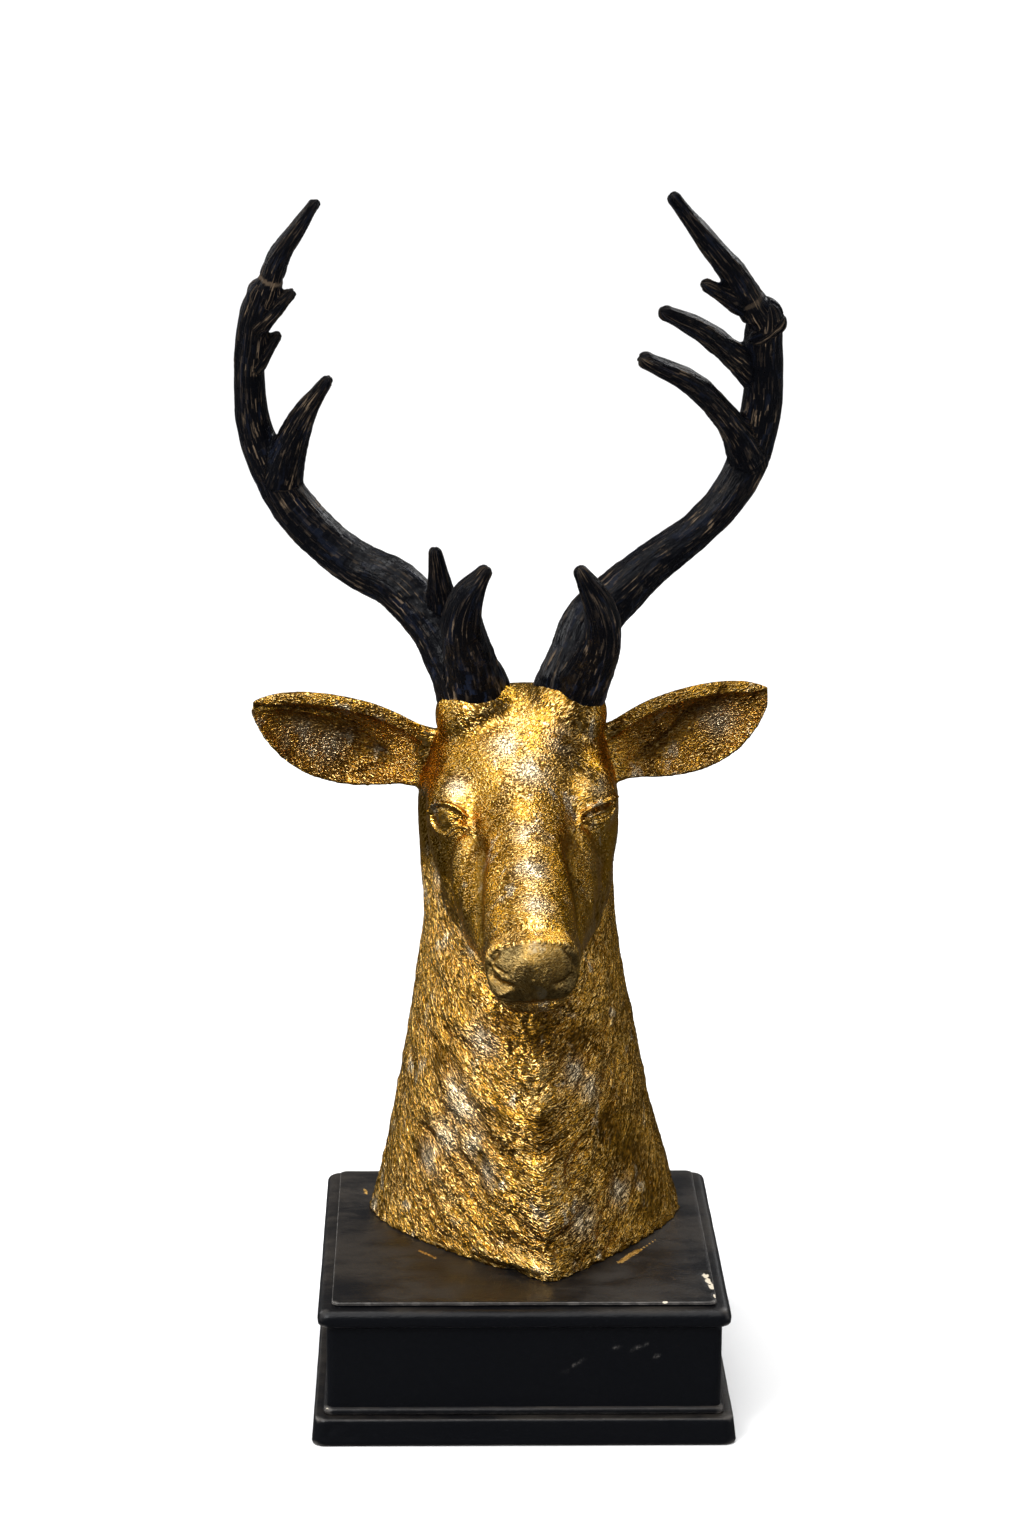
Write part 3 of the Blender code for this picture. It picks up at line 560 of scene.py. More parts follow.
def with_modifier(mesh, kind, **settings):
    """The mesh after one modifier."""
    thing = add_object("work", mesh)
    modifier = thing.modifiers.new("step", kind)
    for name, value in settings.items():
        setattr(modifier, name, value)
    bpy.context.view_layer.update()
    graph = bpy.context.evaluated_depsgraph_get()
    out = bpy.data.meshes.new_from_object(thing.evaluated_get(graph), depsgraph=graph)
    bpy.data.objects.remove(thing, do_unlink=True)
    return out


def remeshed(meshes, voxel, smoothing):
    """The forms of several meshes run together into one skin, with its creases softened."""
    builder = bmesh.new()
    for mesh in meshes:
        builder.from_mesh(mesh)
    joined = bpy.data.meshes.new("joined")
    builder.to_mesh(joined)
    builder.free()
    skin = with_modifier(joined, "REMESH", mode="VOXEL", voxel_size=voxel)
    return with_modifier(skin, "SMOOTH", factor=0.5, iterations=smoothing)


def hollows(mesh, iterations):
    """How far each point lies below the skin around it; below zero where it stands proud."""
    soft = with_modifier(mesh.copy(), "SMOOTH", factor=0.5, iterations=iterations)
    points, normals = mesh_arrays(mesh)
    return ((mesh_arrays(soft)[0] - points) * normals).sum(axis=1)


def finish_piece(name, mesh, node):
    """A finished piece that stands for one CAD node and stays inside its box."""
    low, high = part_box(node)
    points, _ = mesh_arrays(mesh)
    move_points(mesh, np.clip(points, low, high))
    mesh.name = name
    piece = add_object(name, mesh)
    mesh.shade_smooth()
    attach(piece, "root")
    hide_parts(node)
    return piece


def mesh_from(builder, name):
    """Turns a bmesh into a mesh with its faces pointing out."""
    bmesh.ops.recalc_face_normals(builder, faces=builder.faces)
    mesh = bpy.data.meshes.new(name)
    builder.to_mesh(mesh)
    builder.free()
    return mesh


def loft(builder, rings):
    """A closed skin through rings that have the same number of points."""
    loops = [[builder.verts.new(point) for point in ring] for ring in rings]
    for near, far in zip(loops, loops[1:]):
        for i in range(len(near)):
            builder.faces.new((near[i - 1], near[i], far[i], far[i - 1]))
    builder.faces.new(reversed(loops[0]))
    builder.faces.new(loops[-1])


def smooth_rows(rows, steps):
    """Rows of numbers with steps - 1 more between each pair, on a Catmull-Rom curve through them."""
    rows = [np.array(row, float) for row in rows]
    ends = [2 * rows[0] - rows[1], *rows, 2 * rows[-1] - rows[-2]]
    out = []
    for before, start, end, after in zip(ends, ends[1:], ends[2:], ends[3:]):
        for step in range(steps):
            t = step / steps
            bend = 2 * before - 5 * start + 4 * end - after
            twist = 3 * (start - end) + after - before
            out.append(0.5 * (2 * start + (end - before) * t + bend * t * t + twist * t ** 3))
    out.append(rows[-1])
    return out


def quarter(start, end, hollow, steps=4):
    """A quarter of an ellipse between two points of a profile, bulging out or, if hollow, in."""
    points = []
    for step in range(1, steps + 1):
        angle = math.pi / 2 * step / steps
        out, up = math.sin(angle), 1 - math.cos(angle)
        if hollow:
            out, up = 1 - math.cos(angle), math.sin(angle)
        points.append((start[0] + (end[0] - start[0]) * out, start[1] + (end[1] - start[1]) * up))
    return points


def plinth_profile():
    """The plinth's profile from the floor up, as distances out from the waist and heights."""
    slab_top = SLAB_HEIGHT
    bead_top = slab_top + BEAD_HEIGHT
    waist_top = bead_top + WAIST_HEIGHT
    cove_top = waist_top + COVE_HEIGHT
    moulding_top = cove_top + MOULDING_HEIGHT
    quirk_top = moulding_top + QUIRK_HEIGHT
    upper_slab = SLAB_PROJECTION - SLAB_BATTER
    bead_middle = slab_top + BEAD_HEIGHT / 2
    moulding_middle = cove_top + MOULDING_HEIGHT * MOULDING_NOSE
    profile = [(SLAB_PROJECTION - SLAB_ROUNDING, 0.0)]
    profile += quarter(profile[-1], (SLAB_PROJECTION, SLAB_ROUNDING), hollow=False, steps=2)
    profile.append((upper_slab, slab_top - SLAB_ROUNDING))
    profile += quarter(profile[-1], (upper_slab - SLAB_ROUNDING, slab_top), hollow=True, steps=2)
    profile.append((BEAD_PROJECTION * BEAD_START, slab_top))
    profile += quarter(profile[-1], (BEAD_PROJECTION, bead_middle), hollow=False, steps=2)
    profile += quarter(profile[-1], (0.0, bead_top), hollow=True, steps=2)
    profile.append((0.0, waist_top))
    profile += quarter(profile[-1], (MOULDING_PROJECTION * COVE_REACH, cove_top), hollow=True, steps=2)
    profile += quarter(profile[-1], (MOULDING_PROJECTION, moulding_middle), hollow=False, steps=2)
    profile += quarter(profile[-1], (QUIRK_SETBACK, moulding_top), hollow=True, steps=4)
    profile.append((-PANEL_SETBACK - QUIRK_SETBACK, moulding_top))
    profile.append((-PANEL_SETBACK - QUIRK_SETBACK, quirk_top))
    profile.append((-PANEL_SETBACK, quirk_top + PANEL_ROUNDING / 2))
    profile.append((-PANEL_SETBACK, PLINTH_HEIGHT - PANEL_ROUNDING))
    profile += quarter(profile[-1], (-PANEL_SETBACK - PANEL_ROUNDING, PLINTH_HEIGHT), hollow=True, steps=2)
    return profile


def figure_matrix():
    """Figure units on the plinth's top to metres in the world."""
    return Matrix.Translation((FIGURE_OFFSET, 0, PLINTH_HEIGHT + SEAT_GAP)) @ Matrix.Scale(UNIT, 4)


def head_matrix():
    """Head space to figure space."""
    turn = Matrix.Rotation(HEAD_YAW, 4, "Z") @ Matrix.Rotation(-HEAD_ROLL, 4, "Y")
    return Matrix.Translation(HEAD_ORIGIN) @ turn @ Matrix.Rotation(HEAD_PITCH, 4, "X")


def neck_ring(section, sides=48):
    """One section of the neck: an oval whose front half narrows to a keel, sharp at the foot."""
    height, half_width, middle, keel, front, widest, back, sharpness = section
    power = 2 - KEEL_POWER * sharpness
    squash = 0.5 + KEEL_SQUASH * sharpness
    points = []
    for side in range(sides):
        angle = math.tau * side / sides
        reach = math.cos(angle)
        if reach > 0:
            share = 1 - (1 - reach) ** (1 + KEEL_REACH * sharpness)
            across = (1 - share ** power) ** squash
            y = widest + (front - widest) * share
            centre = middle + (keel - middle) * share * share
        else:
            across = abs(math.sin(angle))
            y = widest - (back - widest) * reach
            centre = middle
        points.append((centre + math.copysign(half_width * across, math.sin(angle)), y, height))
    return points


def head_ring(section, sides=40):
    """One section across the head, in head space: rounded, with its own width at three levels."""
    forward, top, bottom, upper, middle, lower = section
    pull = 2 * middle - (upper + lower) / 2
    points = []
    for side in range(sides):
        angle = math.tau * side / sides
        down = (1 - math.cos(angle)) / 2
        width = upper * (1 - down) ** 2 + 2 * pull * down * (1 - down) + lower * down * down
        across = math.copysign(abs(math.sin(angle)) ** HEAD_ROUNDING, math.sin(angle))
        points.append(Vector((width * across, -forward, top + (bottom - top) * down)))
    return points


def ear_rings(root, tip, size, outward):
    """Sections of an ear: a leaf-shaped shell, hollow in front, with a thick rolled upper rim."""
    root = Vector(root)
    axis = Vector(tip) - root
    along = axis.normalized()
    front = Vector((0, -math.cos(EAR_TURN), -math.sin(EAR_TURN)))
    front = (front - along * front.dot(along)).normalized()
    up = along.cross(front) * outward
    rings = []
    for share, half_height, depth in smooth_rows(EAR_SECTIONS, 2):
        half_height *= size
        sag = EAR_SAG * math.sin(math.pi * min(max(share, 0.0), 1.0) ** EAR_SAG_LATE)
        centre = root + axis * share - up * sag
        opening = min(max((share - EAR_OPENS[0]) / EAR_OPENS[1], 0.0), 1.0)
        thin = min(half_height / EAR_THIN, 1.0)
        ring = []
        for step in range(EAR_STEPS + 1):
            angle = math.pi * step / EAR_STEPS
            ring.append(centre + up * half_height * math.cos(angle) - front * depth * math.sin(angle))
        for step in range(EAR_STEPS, -1, -1):
            angle = math.pi * step / EAR_STEPS
            wall = (EAR_WALL + EAR_RIM * math.cos(angle)) * thin
            hollow = (depth - wall * EAR_FLOOR) * opening - EAR_CLOSED * (1 - opening)
            lip = EAR_RIM * thin * abs(math.cos(angle)) ** EAR_RIM_SHARPNESS
            ring.append(
                centre
                + up * (half_height - wall) * math.cos(angle)
                - front * (hollow * math.sin(angle) - lip)
            )
        rings.append(ring)
    return rings


def frames(points, steps):
    """Along a smooth line: each place, its radius, the two directions across it, and the length so far."""
    rows = smooth_rows(points, steps)
    across = Vector((0, 1, 0))
    length = 0.0
    for i, row in enumerate(rows):
        here = Vector(row[:3])
        ahead = Vector(rows[min(i + 1, len(rows) - 1)][:3])
        behind = Vector(rows[max(i - 1, 0)][:3])
        along = (ahead - behind).normalized()
        across = (across - along * across.dot(along)).normalized()
        length += (here - behind).length
        yield here, row[3], across, along.cross(across), length


def limb_rings(points):
    """Round sections along a smooth line, each square to it, that close to a blunt tip."""
    rings = []
    for here, radius, across, third, _ in frames(points, LIMB_STEPS):
        ring = []
        for side in range(TUBE_SIDES):
            angle = math.tau * side / TUBE_SIDES
            reach = across * math.cos(angle) + third * math.sin(angle) * TINE_FLATTENING
            ring.append(here + reach * radius)
        rings.append(ring)
    return rings


def add_ball(builder, centre, radii, matrix):
    """An ellipsoid with its own half sizes along the axes of the space that the matrix leaves."""
    shape = matrix @ Matrix.Translation(centre) @ Matrix.Diagonal((*radii, 1))
    bmesh.ops.create_icosphere(builder, subdivisions=3, radius=1.0, matrix=shape)


def head_form():
    """The neck and head as plain overlapping forms in figure space."""
    to_figure = head_matrix()
    builder = bmesh.new()
    loft(builder, [neck_ring(section) for section in smooth_rows(NECK_SECTIONS, 3)])
    sections = smooth_rows(HEAD_SECTIONS, 3)
    loft(builder, [[to_figure @ point for point in head_ring(section)] for section in sections])
    for centre, radii in MIDDLE_MASSES:
        add_ball(builder, centre, radii, to_figure)
    for side in (-1, 1):
        for (x, y, z), radii in SIDE_MASSES:
            add_ball(builder, (x * side, y, z), radii, to_figure)
        x, y, z = PEDICLE
        add_ball(builder, (x * side + PEDICLE_SHIFT, y, z), PEDICLE_RADII, Matrix())
    return mesh_from(builder, "head_form")


def ear_form():
    builder = bmesh.new()
    for side, outward in (("left", 1), ("right", -1)):
        loft(builder, ear_rings(*EARS[side], outward))
    return mesh_from(builder, "ear_form")


def path_distance(points, path):
    """Each point's distance to a path of straight runs."""
    nearest = np.full(len(points), np.inf)
    path = np.array(path, float)
    for start, end in zip(path, path[1:]):
        run = end - start
        share = np.clip((points - start) @ run / (run @ run), 0, 1)
        gap = np.linalg.norm(points - start - share[:, None] * run, axis=1)
        nearest = np.minimum(nearest, gap)
    return nearest


def on_skin(points, path):
    """A smooth path through the given places, each moved to the nearest point of the skin."""
    places = []
    for row in smooth_rows(path, 5):
        place = points[np.argmin(((points - row) ** 2).sum(axis=1))]
        if not places or not np.allclose(place, places[-1]):
            places.append(place)
    return places


def near_line(points, path, width):
    """1 on a path, less with the distance from it in widths."""
    return np.exp(-((path_distance(points, path) / width) ** 2))


def near_lines(points, lines):
    """1 on the nearest line of several."""
    return np.maximum.reduce([near_line(points, path, width) for path, width in lines])


def near_spots(points, places):
    """1 in the middle of the nearest place, less with the distance from it in sizes."""
    gaps = [(((points - (x, y, z)) / size) ** 2).sum(axis=1) for x, y, z, size in places]
    return np.exp(-np.min(gaps, axis=0))


def raised_line(points, path, width, height):
    """How far a rounded ridge along a path lifts each point; a negative height is a groove."""
    return height * near_line(points, on_skin(points, path), width)


def raised_spot(points, centre, radii, height):
    """How far a soft swelling lifts each point; a negative height is a dent."""
    middle = points[np.argmin(((points - centre) ** 2).sum(axis=1))]
    return height * np.exp(-((((points - middle) / radii) ** 2).sum(axis=1)))


def eye_relief(points, upper, lower, pupil):
    """Lift of one eye: a sunk socket, the ball within it, and a rolled lid above and below."""
    lift = raised_spot(points, pupil, EYE_HOLLOW_SPREAD, -EYE_HOLLOW_SINK)
    lift += raised_spot(points, pupil, EYEBALL_SPREAD, EYEBALL_LIFT)
    lift += raised_spot(points, pupil, PUPIL_SPREAD, -PUPIL_SINK)
    lids = np.maximum(raised_line(points, upper, *UPPER_LID), raised_line(points, lower, *LOWER_LID))
    return lift + lids


def half_face(in_head):
    """Places in head space with both halves of the face brought onto one."""
    half = in_head.copy()
    half[:, 0] = np.abs(half[:, 0])
    return half


def face_relief(points):
    """Lift of the face's carving at points in head space: eyes, bridge, nostrils and lips."""
    lift = np.zeros(len(points))
    for upper, lower, pupil in EYES.values():
        lift += eye_relief(points, upper, lower, pupil)
    half = half_face(points)
    for width, height, path in FACE_LINES:
        share = MUZZLE_SHARE if path[0][1] < MUZZLE_FRONT else 1
        lift += raised_line(half, path, width, height * share)
    for width, height, path in FACE_DETAIL:
        lift += raised_line(points, path, width, height)
    return lift


def keel_at(height):
    return np.interp(height, [row[0] for row in NECK_SECTIONS], [row[3] for row in NECK_SECTIONS])


def fur_relief(points):
    """Lift of the neck's combed locks at points in figure space: long tufts that run down to the keel."""
    height = points[:, 2]
    aside = np.abs(points[:, 0] - keel_at(height))
    across = aside * math.cos(FUR_SLANT) - height * math.sin(FUR_SLANT)
    along = aside * math.sin(FUR_SLANT) + height * math.cos(FUR_SLANT)
    combed = np.stack([across / TUFT_WIDTH, along / TUFT_LENGTH, points[:, 1] / TUFT_LENGTH], axis=1)
    tufts = noise_at(combed)
    swags = np.array([noise.noise(Vector(point) / SWAG_SIZE) for point in points])
    folds = np.sin(math.tau * ((height - FOLD_DROOP * aside) / FOLD_SPACING + swags))
    front = np.clip((FUR_FRONT - points[:, 1]) / FUR_FRONT, PLAIN_BACK, 1)
    fade = np.clip((FUR_TOP - height) / FUR_FADE, 0, 1) * np.clip((height - FUR_FOOT) / FUR_FOOT_FADE, 0, 1)
    return (TUFT_LIFT * tufts + FOLD_LIFT * folds + SWAG_LIFT * swags) * front * fade


def head_space(points):
    to_head = np.array(head_matrix().inverted())
    return points @ to_head[:3, :3].T + to_head[:3, 3]


def neck_comb(points):
    """Across and along the neck's hairs, which rise away from the keel and get steeper round the sides."""
    height = points[:, 2]
    around = NECK_REACH * np.arctan2(np.abs(points[:, 0] - keel_at(height)), NECK_AXIS - points[:, 1])
    rise = HAIR_RISE * around + HAIR_BEND * around ** 2
    return np.stack([rise - height, HAIR_ALONG[0] * around + HAIR_ALONG[1] * height, points[:, 0]], axis=1)


def face_comb(in_head):
    """Across and along the hairs of the face, which run out and back from the middle of the bridge."""
    around = FACE_REACH * np.arctan2(np.abs(in_head[:, 0]), in_head[:, 2] - FACE_AXIS)
    length = in_head[:, 1] + in_head[:, 2] * ease(-in_head[:, 1], *NOSE_BEND)
    across = around * math.cos(FACE_SLANT) + length * math.sin(FACE_SLANT)
    along = around * math.sin(FACE_SLANT) - length * math.cos(FACE_SLANT)
    return np.stack([across, along, in_head[:, 0]], axis=1)


def ear_comb(points):
    """Across and along the hairs of the ears, which run out to the tips."""
    along = np.abs(points[:, 0])
    return np.stack([points[:, 2] - EAR_HAIR_RISE * along, along, points[:, 1]], axis=1)


def face_share(points):
    """1 on the head and the muzzle, 0 on the neck."""
    skull = ease(points[:, 2], *SKULL_LEVEL)
    muzzle = ease(-points[:, 1], *MUZZLE_FORWARD) * ease(points[:, 2], *MUZZLE_LEVEL)
    return np.maximum(skull, muzzle)


def ear_share(points):
    return ease(np.abs(points[:, 0]), *EAR_ASIDE) * ease(points[:, 2], *EAR_LEVEL)


def ridges(comb, width, length):
    """Noise drawn out along the hairs, with sharp grooves between rounded locks."""
    return 1 - 2 * np.abs(noise_at(comb / (width, length, width)))


def hair_relief(points, in_head):
    """Lift of the locks and the strands of hair that are finer than the solids carry."""
    face = face_share(points)
    neck = (1 - face) * ease(points[:, 2], *HAIR_FOOT)
    comb = neck_comb(points)
    plain = 1 - ease(-in_head[:, 1], *NOSE_BARE)
    lift = neck * LOCK_LIFT * (ridges(comb, LOCK_WIDTH, LOCK_LENGTH) - HAIR_LEVEL)
    lift += neck * STRAND_LIFT * (ridges(comb + STRAND_SHIFT, STRAND_WIDTH, STRAND_LENGTH) - HAIR_LEVEL)
    front = ease(-points[:, 1], -DRIFT_FRONT / 2, DRIFT_FRONT)
    lift += neck * front * DRIFT_LIFT * noise_at(comb / (DRIFT_WIDTH, DRIFT_LENGTH, DRIFT_WIDTH))
    bridge = ridges(face_comb(in_head), STRAND_WIDTH, STRAND_LENGTH)
    lift += face * plain * FACE_STRAND_LIFT * (bridge - HAIR_LEVEL)
    ragged = FOOT_LIFT * noise_at(points / FOOT_LUMP) * (1 - ease(points[:, 2], 0, FOOT_HEIGHT))
    return lift + ragged + raised_spot(points, *FOOT_NOTCH) + raised_line(points, *FOOT_HEM)


def finer_near(mesh, chosen):
    """Splits each edge whose ends are both chosen, so that small forms can be carved there."""
    builder = bmesh.new()
    builder.from_mesh(mesh)
    builder.verts.ensure_lookup_table()
    for vertex, pick in zip(builder.verts, chosen):
        vertex.select = bool(pick)
    edges = [edge for edge in builder.edges if edge.verts[0].select and edge.verts[1].select]
    bmesh.ops.subdivide_edges(builder, edges=edges, cuts=1, use_grid_fill=True)
    builder.to_mesh(mesh)
    builder.free()


def cut_foot(mesh):
    """Cuts the neck flat at its seat and closes it."""
    builder = bmesh.new()
    builder.from_mesh(mesh)
    everything = builder.verts[:] + builder.edges[:] + builder.faces[:]
    bmesh.ops.bisect_plane(builder, geom=everything, plane_co=(0, 0, 0), plane_no=(0, 0, 1), clear_inner=True)
    rim = [edge for edge in builder.edges if edge.is_boundary]
    bmesh.ops.holes_fill(builder, edges=rim, sides=0)
    builder.to_mesh(mesh)
    builder.free()


def eye_gap(in_head):
    """Each point's distance to the nearer pupil."""
    return np.min([np.linalg.norm(in_head - pupil, axis=1) for _, _, pupil in EYES.values()], axis=0)


def carved_head():
    """The skin of the neck, head and ears with all its carving, cut flat at the foot."""
    finer = (HEAD_SOLID_VOXEL / HEAD_VOXEL) ** 2
    body = remeshed([head_form()], HEAD_VOXEL, round(BODY_SMOOTHING * finer))
    skin = remeshed([body, ear_form()], HEAD_VOXEL, round(SKIN_SMOOTHING * finer))
    in_head = head_space(mesh_arrays(skin)[0])
    muzzle = (in_head[:, 1] < FINER_MUZZLE[0]) & (in_head[:, 2] > FINER_MUZZLE[1])
    finer_near(skin, (eye_gap(in_head) < FINER_EYES) | muzzle)
    finer_near(skin, eye_gap(head_space(mesh_arrays(skin)[0])) < FINEST_EYES)
    points, normals = mesh_arrays(skin)
    in_head = head_space(points)
    lift = face_relief(in_head) + fur_relief(points) + hair_relief(points, in_head)
    for width, height, path in EAR_LINES:
        lift += raised_line(points, path, width, height)
    move_points(skin, points + normals * lift[:, None])
    cut_foot(skin)
    triangles = sum(len(face.vertices) - 2 for face in skin.polygons)
    return with_modifier(skin, "DECIMATE", ratio=min(1.0, HEAD_TRIANGLES / triangles))


def head_masks(points):
    """What the gilding reads at each point, by name."""
    in_head = head_space(points)
    eyes = eye_gap(in_head)
    pad = ease(-in_head[:, 1], *PAD_FORWARD) * ease(in_head[:, 2], *PAD_LEVEL)
    # Painted shade along the bridge's valleys and under the ears' rims, kept in "shade" with the darker eyes
    # and the foot's painted shadow
    valley = raised_line(half_face(in_head), BRIDGE_VALLEY, VALLEY_SHADE, 1)
    shells = [raised_line(points, path, EAR_SHADE + width, 1) for width, lift, path in EAR_LINES if lift < 0]
    # Painted shadow of the gap under the foot's edge, in patches near the seat
    foot_gap_shade = (1 - ease(points[:, 2], *FOOT_SHADE_LEVEL)) * ease(noise_at(points / FOOT_SHADE_SIZE), *FOOT_SHADE_SPREAD)
    return {
        "neck_comb": neck_comb(points),
        "face_comb": face_comb(in_head),
        "ear_comb": ear_comb(points),
        "face": face_share(points),
        "ear": ear_share(points),
        "smooth": np.maximum(pad, 1 - ease(eyes, *EYE_SMOOTH)),
        "pad": pad,
        # Pale silvery wear, and painted highlights at some of the places
        "worn_and_highlit": near_spots(points, WORN_AND_HIGHLIT_PLACES),
        # Painted highlight above zero and painted shade below it, in broad areas
        "painted_light": near_spots(points, PAINTED_HIGHLIGHT_PLACES) - near_spots(points, PAINTED_SHADE_PLACES),
        "shade": np.maximum.reduce([valley, 1 - ease(eyes, *EYE_SHADE), *shells, foot_gap_shade]),
    }


def make_head():
    skin = carved_head()
    for name, values in head_masks(mesh_arrays(skin)[0]).items():
        store(skin, name, values)
    store(skin, "fine_hollow", hollows(skin, FINE_STEPS))
    store(skin, "hollow", hollows(skin, BROAD_STEPS))
    skin.transform(figure_matrix())
    return finish_piece("gilded_head", skin, "head")


def antler_grain(points, side):
    """Each point's place on its limb, two coordinates round it and one along it; then the share of the top
    tine's ring, and of the way to the limb's tip."""
    best = np.full(len(points), np.inf)
    grain = np.zeros((len(points), 3))
    ring = np.zeros(len(points))
    tip = np.zeros(len(points))
    for index, (name, limb) in enumerate(ANTLER_LIMBS[side].items()):
        line = frames(limb, GRAIN_STEPS)
        samples = np.array([(*here, radius, *u, *v, length) for here, radius, u, v, length in line])
        for start in range(0, len(points), GRAIN_BATCH):
            part = slice(start, start + GRAIN_BATCH)
            offset = points[part, None, :] - samples[None, :, :3]
            reach = np.linalg.norm(offset, axis=2) / samples[:, 3]
            nearest = reach.argmin(axis=1)
            rows = np.arange(len(nearest))
            near = samples[nearest]
            rest = offset[rows, nearest]
            first = (rest * near[:, 4:7]).sum(axis=1)
            second = (rest * near[:, 7:10]).sum(axis=1)
            size = np.hypot(first, second) + 1e-6
            place = np.stack([first / size, second / size, near[:, 10] + LIMB_GAP * index], axis=1)
            closer = reach[rows, nearest] < best[part]
            best[part] = np.where(closer, reach[rows, nearest], best[part])
            grain[part] = np.where(closer[:, None], place, grain[part])
            band = np.exp(-(((near[:, 10] - RING_AT) / RING_WIDTH) ** 2)) if name == "top" else 0.0
            ring[part] = np.where(closer, band, ring[part])
            tip[part] = np.where(closer, near[:, 10] / samples[-1, 10], tip[part])
    return grain, ring, tip


def make_antler(side):
    builder = bmesh.new()
    for points in ANTLER_LIMBS[side].values():
        loft(builder, limb_rings(points))
        x, y, z, radius = points[-1]
        place = Matrix.Translation((x, y, z))
        bmesh.ops.create_icosphere(builder, subdivisions=3, radius=radius, matrix=place)
    smoothing = round(SKIN_SMOOTHING * (ANTLER_SOLID_VOXEL / ANTLER_VOXEL) ** 2)
    form = remeshed([mesh_from(builder, f"limbs_{side}")], ANTLER_VOXEL, smoothing)
    points, normals = mesh_arrays(form)
    grain, ring, tip = antler_grain(points, side)
    drawn = grain * (GROOVES_ROUND, GROOVES_ROUND, 1 / GROOVE_LENGTH)
    lift = -GROOVE_SINK * np.clip(noise_at(drawn) * GROOVE_GAIN, 0, 1)
    lift += LUMP_LIFT * noise_at(points / LUMP_SIZE)
    lift += PEARL_LIFT * noise_at(points / PEARL_SIZE) * ease(tip, *PEARLS_END)
    lift -= RING_SINK * ring
    move_points(form, points + normals * lift[:, None])
    store(form, "grain", grain)
    store(form, "ring", ring)
    store(form, "base", ease(points[:, 2], *BASE_LEVEL))
    store(form, "fine_hollow", hollows(form, ANTLER_FINE_STEPS))
    form.transform(figure_matrix())
    return finish_piece(f"black_antler_{side}", form, f"antler_{side}")


def outline(half_width, half_depth, radius, height):
    """Closely spaced points of a rectangle with round corners, anticlockwise seen from above."""
    arcs = []
    for corner in range(4):
        sign_x = (1, -1, -1, 1)[corner]
        sign_y = (1, 1, -1, -1)[corner]
        arc = []
        for step in range(CORNER_POINTS + 1):
            angle = math.pi / 2 * (corner + step / CORNER_POINTS)
            x = sign_x * (half_width - radius) + radius * math.cos(angle)
            y = sign_y * (half_depth - radius) + radius * math.sin(angle)
            arc.append((x, y, height))
        arcs.append(arc)
    points = []
    for corner, arc in enumerate(arcs):
        points += arc
        start = np.array(arc[-1])
        end = np.array(arcs[(corner + 1) % 4][0])
        points += [tuple(start + (end - start) * step / SIDE_POINTS) for step in range(1, SIDE_POINTS)]
    return points


def fine_profile():
    """The plinth's profile with rows close enough for small dents, and how sharply each row turns out."""
    corners = plinth_profile()
    top_out, top = corners[-1]
    corners.append((top_out - TOP_INWARD, top))
    rows = [corners[0]]
    for start, end in zip(corners, corners[1:]):
        count = max(1, round(math.dist(start, end) / ROW_SPACING))
        for step in range(1, count + 1):
            share = step / count
            rows.append((start[0] + (end[0] - start[0]) * share, start[1] + (end[1] - start[1]) * share))
    turns = [0.0]
    for before, here, after in zip(rows, rows[1:], rows[2:]):
        first = math.atan2(here[1] - before[1], here[0] - before[0])
        second = math.atan2(after[1] - here[1], after[0] - here[0])
        turn = (second - first + math.pi) % math.tau - math.pi
        turns.append(turn / max(math.dist(before, after) / 2, LEAST_RUN))
    turns.append(0.0)
    return rows, turns


def make_plinth():
    rows, turns = fine_profile()
    builder = bmesh.new()
    rings = []
    for out, height in rows:
        radius = max(PLINTH_CORNER_RADIUS + CORNER_GROWTH * out, LEAST_CORNER)
        rings.append(outline(PLINTH_WIDTH / 2 + out, PLINTH_DEPTH / 2 + out, radius, height))
    loft(builder, rings)
    mesh = mesh_from(builder, "plinth_form")
    points, normals = mesh_arrays(mesh)
    edge = np.repeat(np.clip(np.array(turns) / SHARP_TURN, 0, 1), len(rings[0]))
    corner = np.zeros(len(rings[0]))
    for index in range(4):
        first = index * (CORNER_POINTS + SIDE_POINTS)
        for step in range(CORNER_POINTS + 1):
            corner[first + step] = math.sin(math.pi * step / CORNER_POINTS)
    corner = np.tile(corner, len(rings))
    wobble = noise_at(points / WOBBLE_SIZE)
    lift = -WOBBLE * (0.5 + 0.5 * wobble) * ease(points[:, 2], *WOBBLE_LEVEL)
    chip_and_highlight = np.zeros(len(points))
    for place, radii, depth, pale in PLINTH_MARKS:
        spot = np.exp(-((((points - place) / radii) ** 2).sum(axis=1)) ** CHIP_SHARPNESS)
        lift -= depth * spot
        chip_and_highlight = np.maximum(chip_and_highlight, pale * spot)
    move_points(mesh, points + normals * lift[:, None])
    store(mesh, "edge", edge)
    store(mesh, "corner", corner)
    store(mesh, "chip_and_highlight", chip_and_highlight)
    store(mesh, "scratch", near_lines(points, PLINTH_SCRATCHES))
    store(mesh, "smear", near_lines(points, GOLD_SMEARS))
    piece = finish_piece("black_plinth", mesh, "plinth")
    mesh.set_sharp_from_angle(angle=CREASE)
    return piece


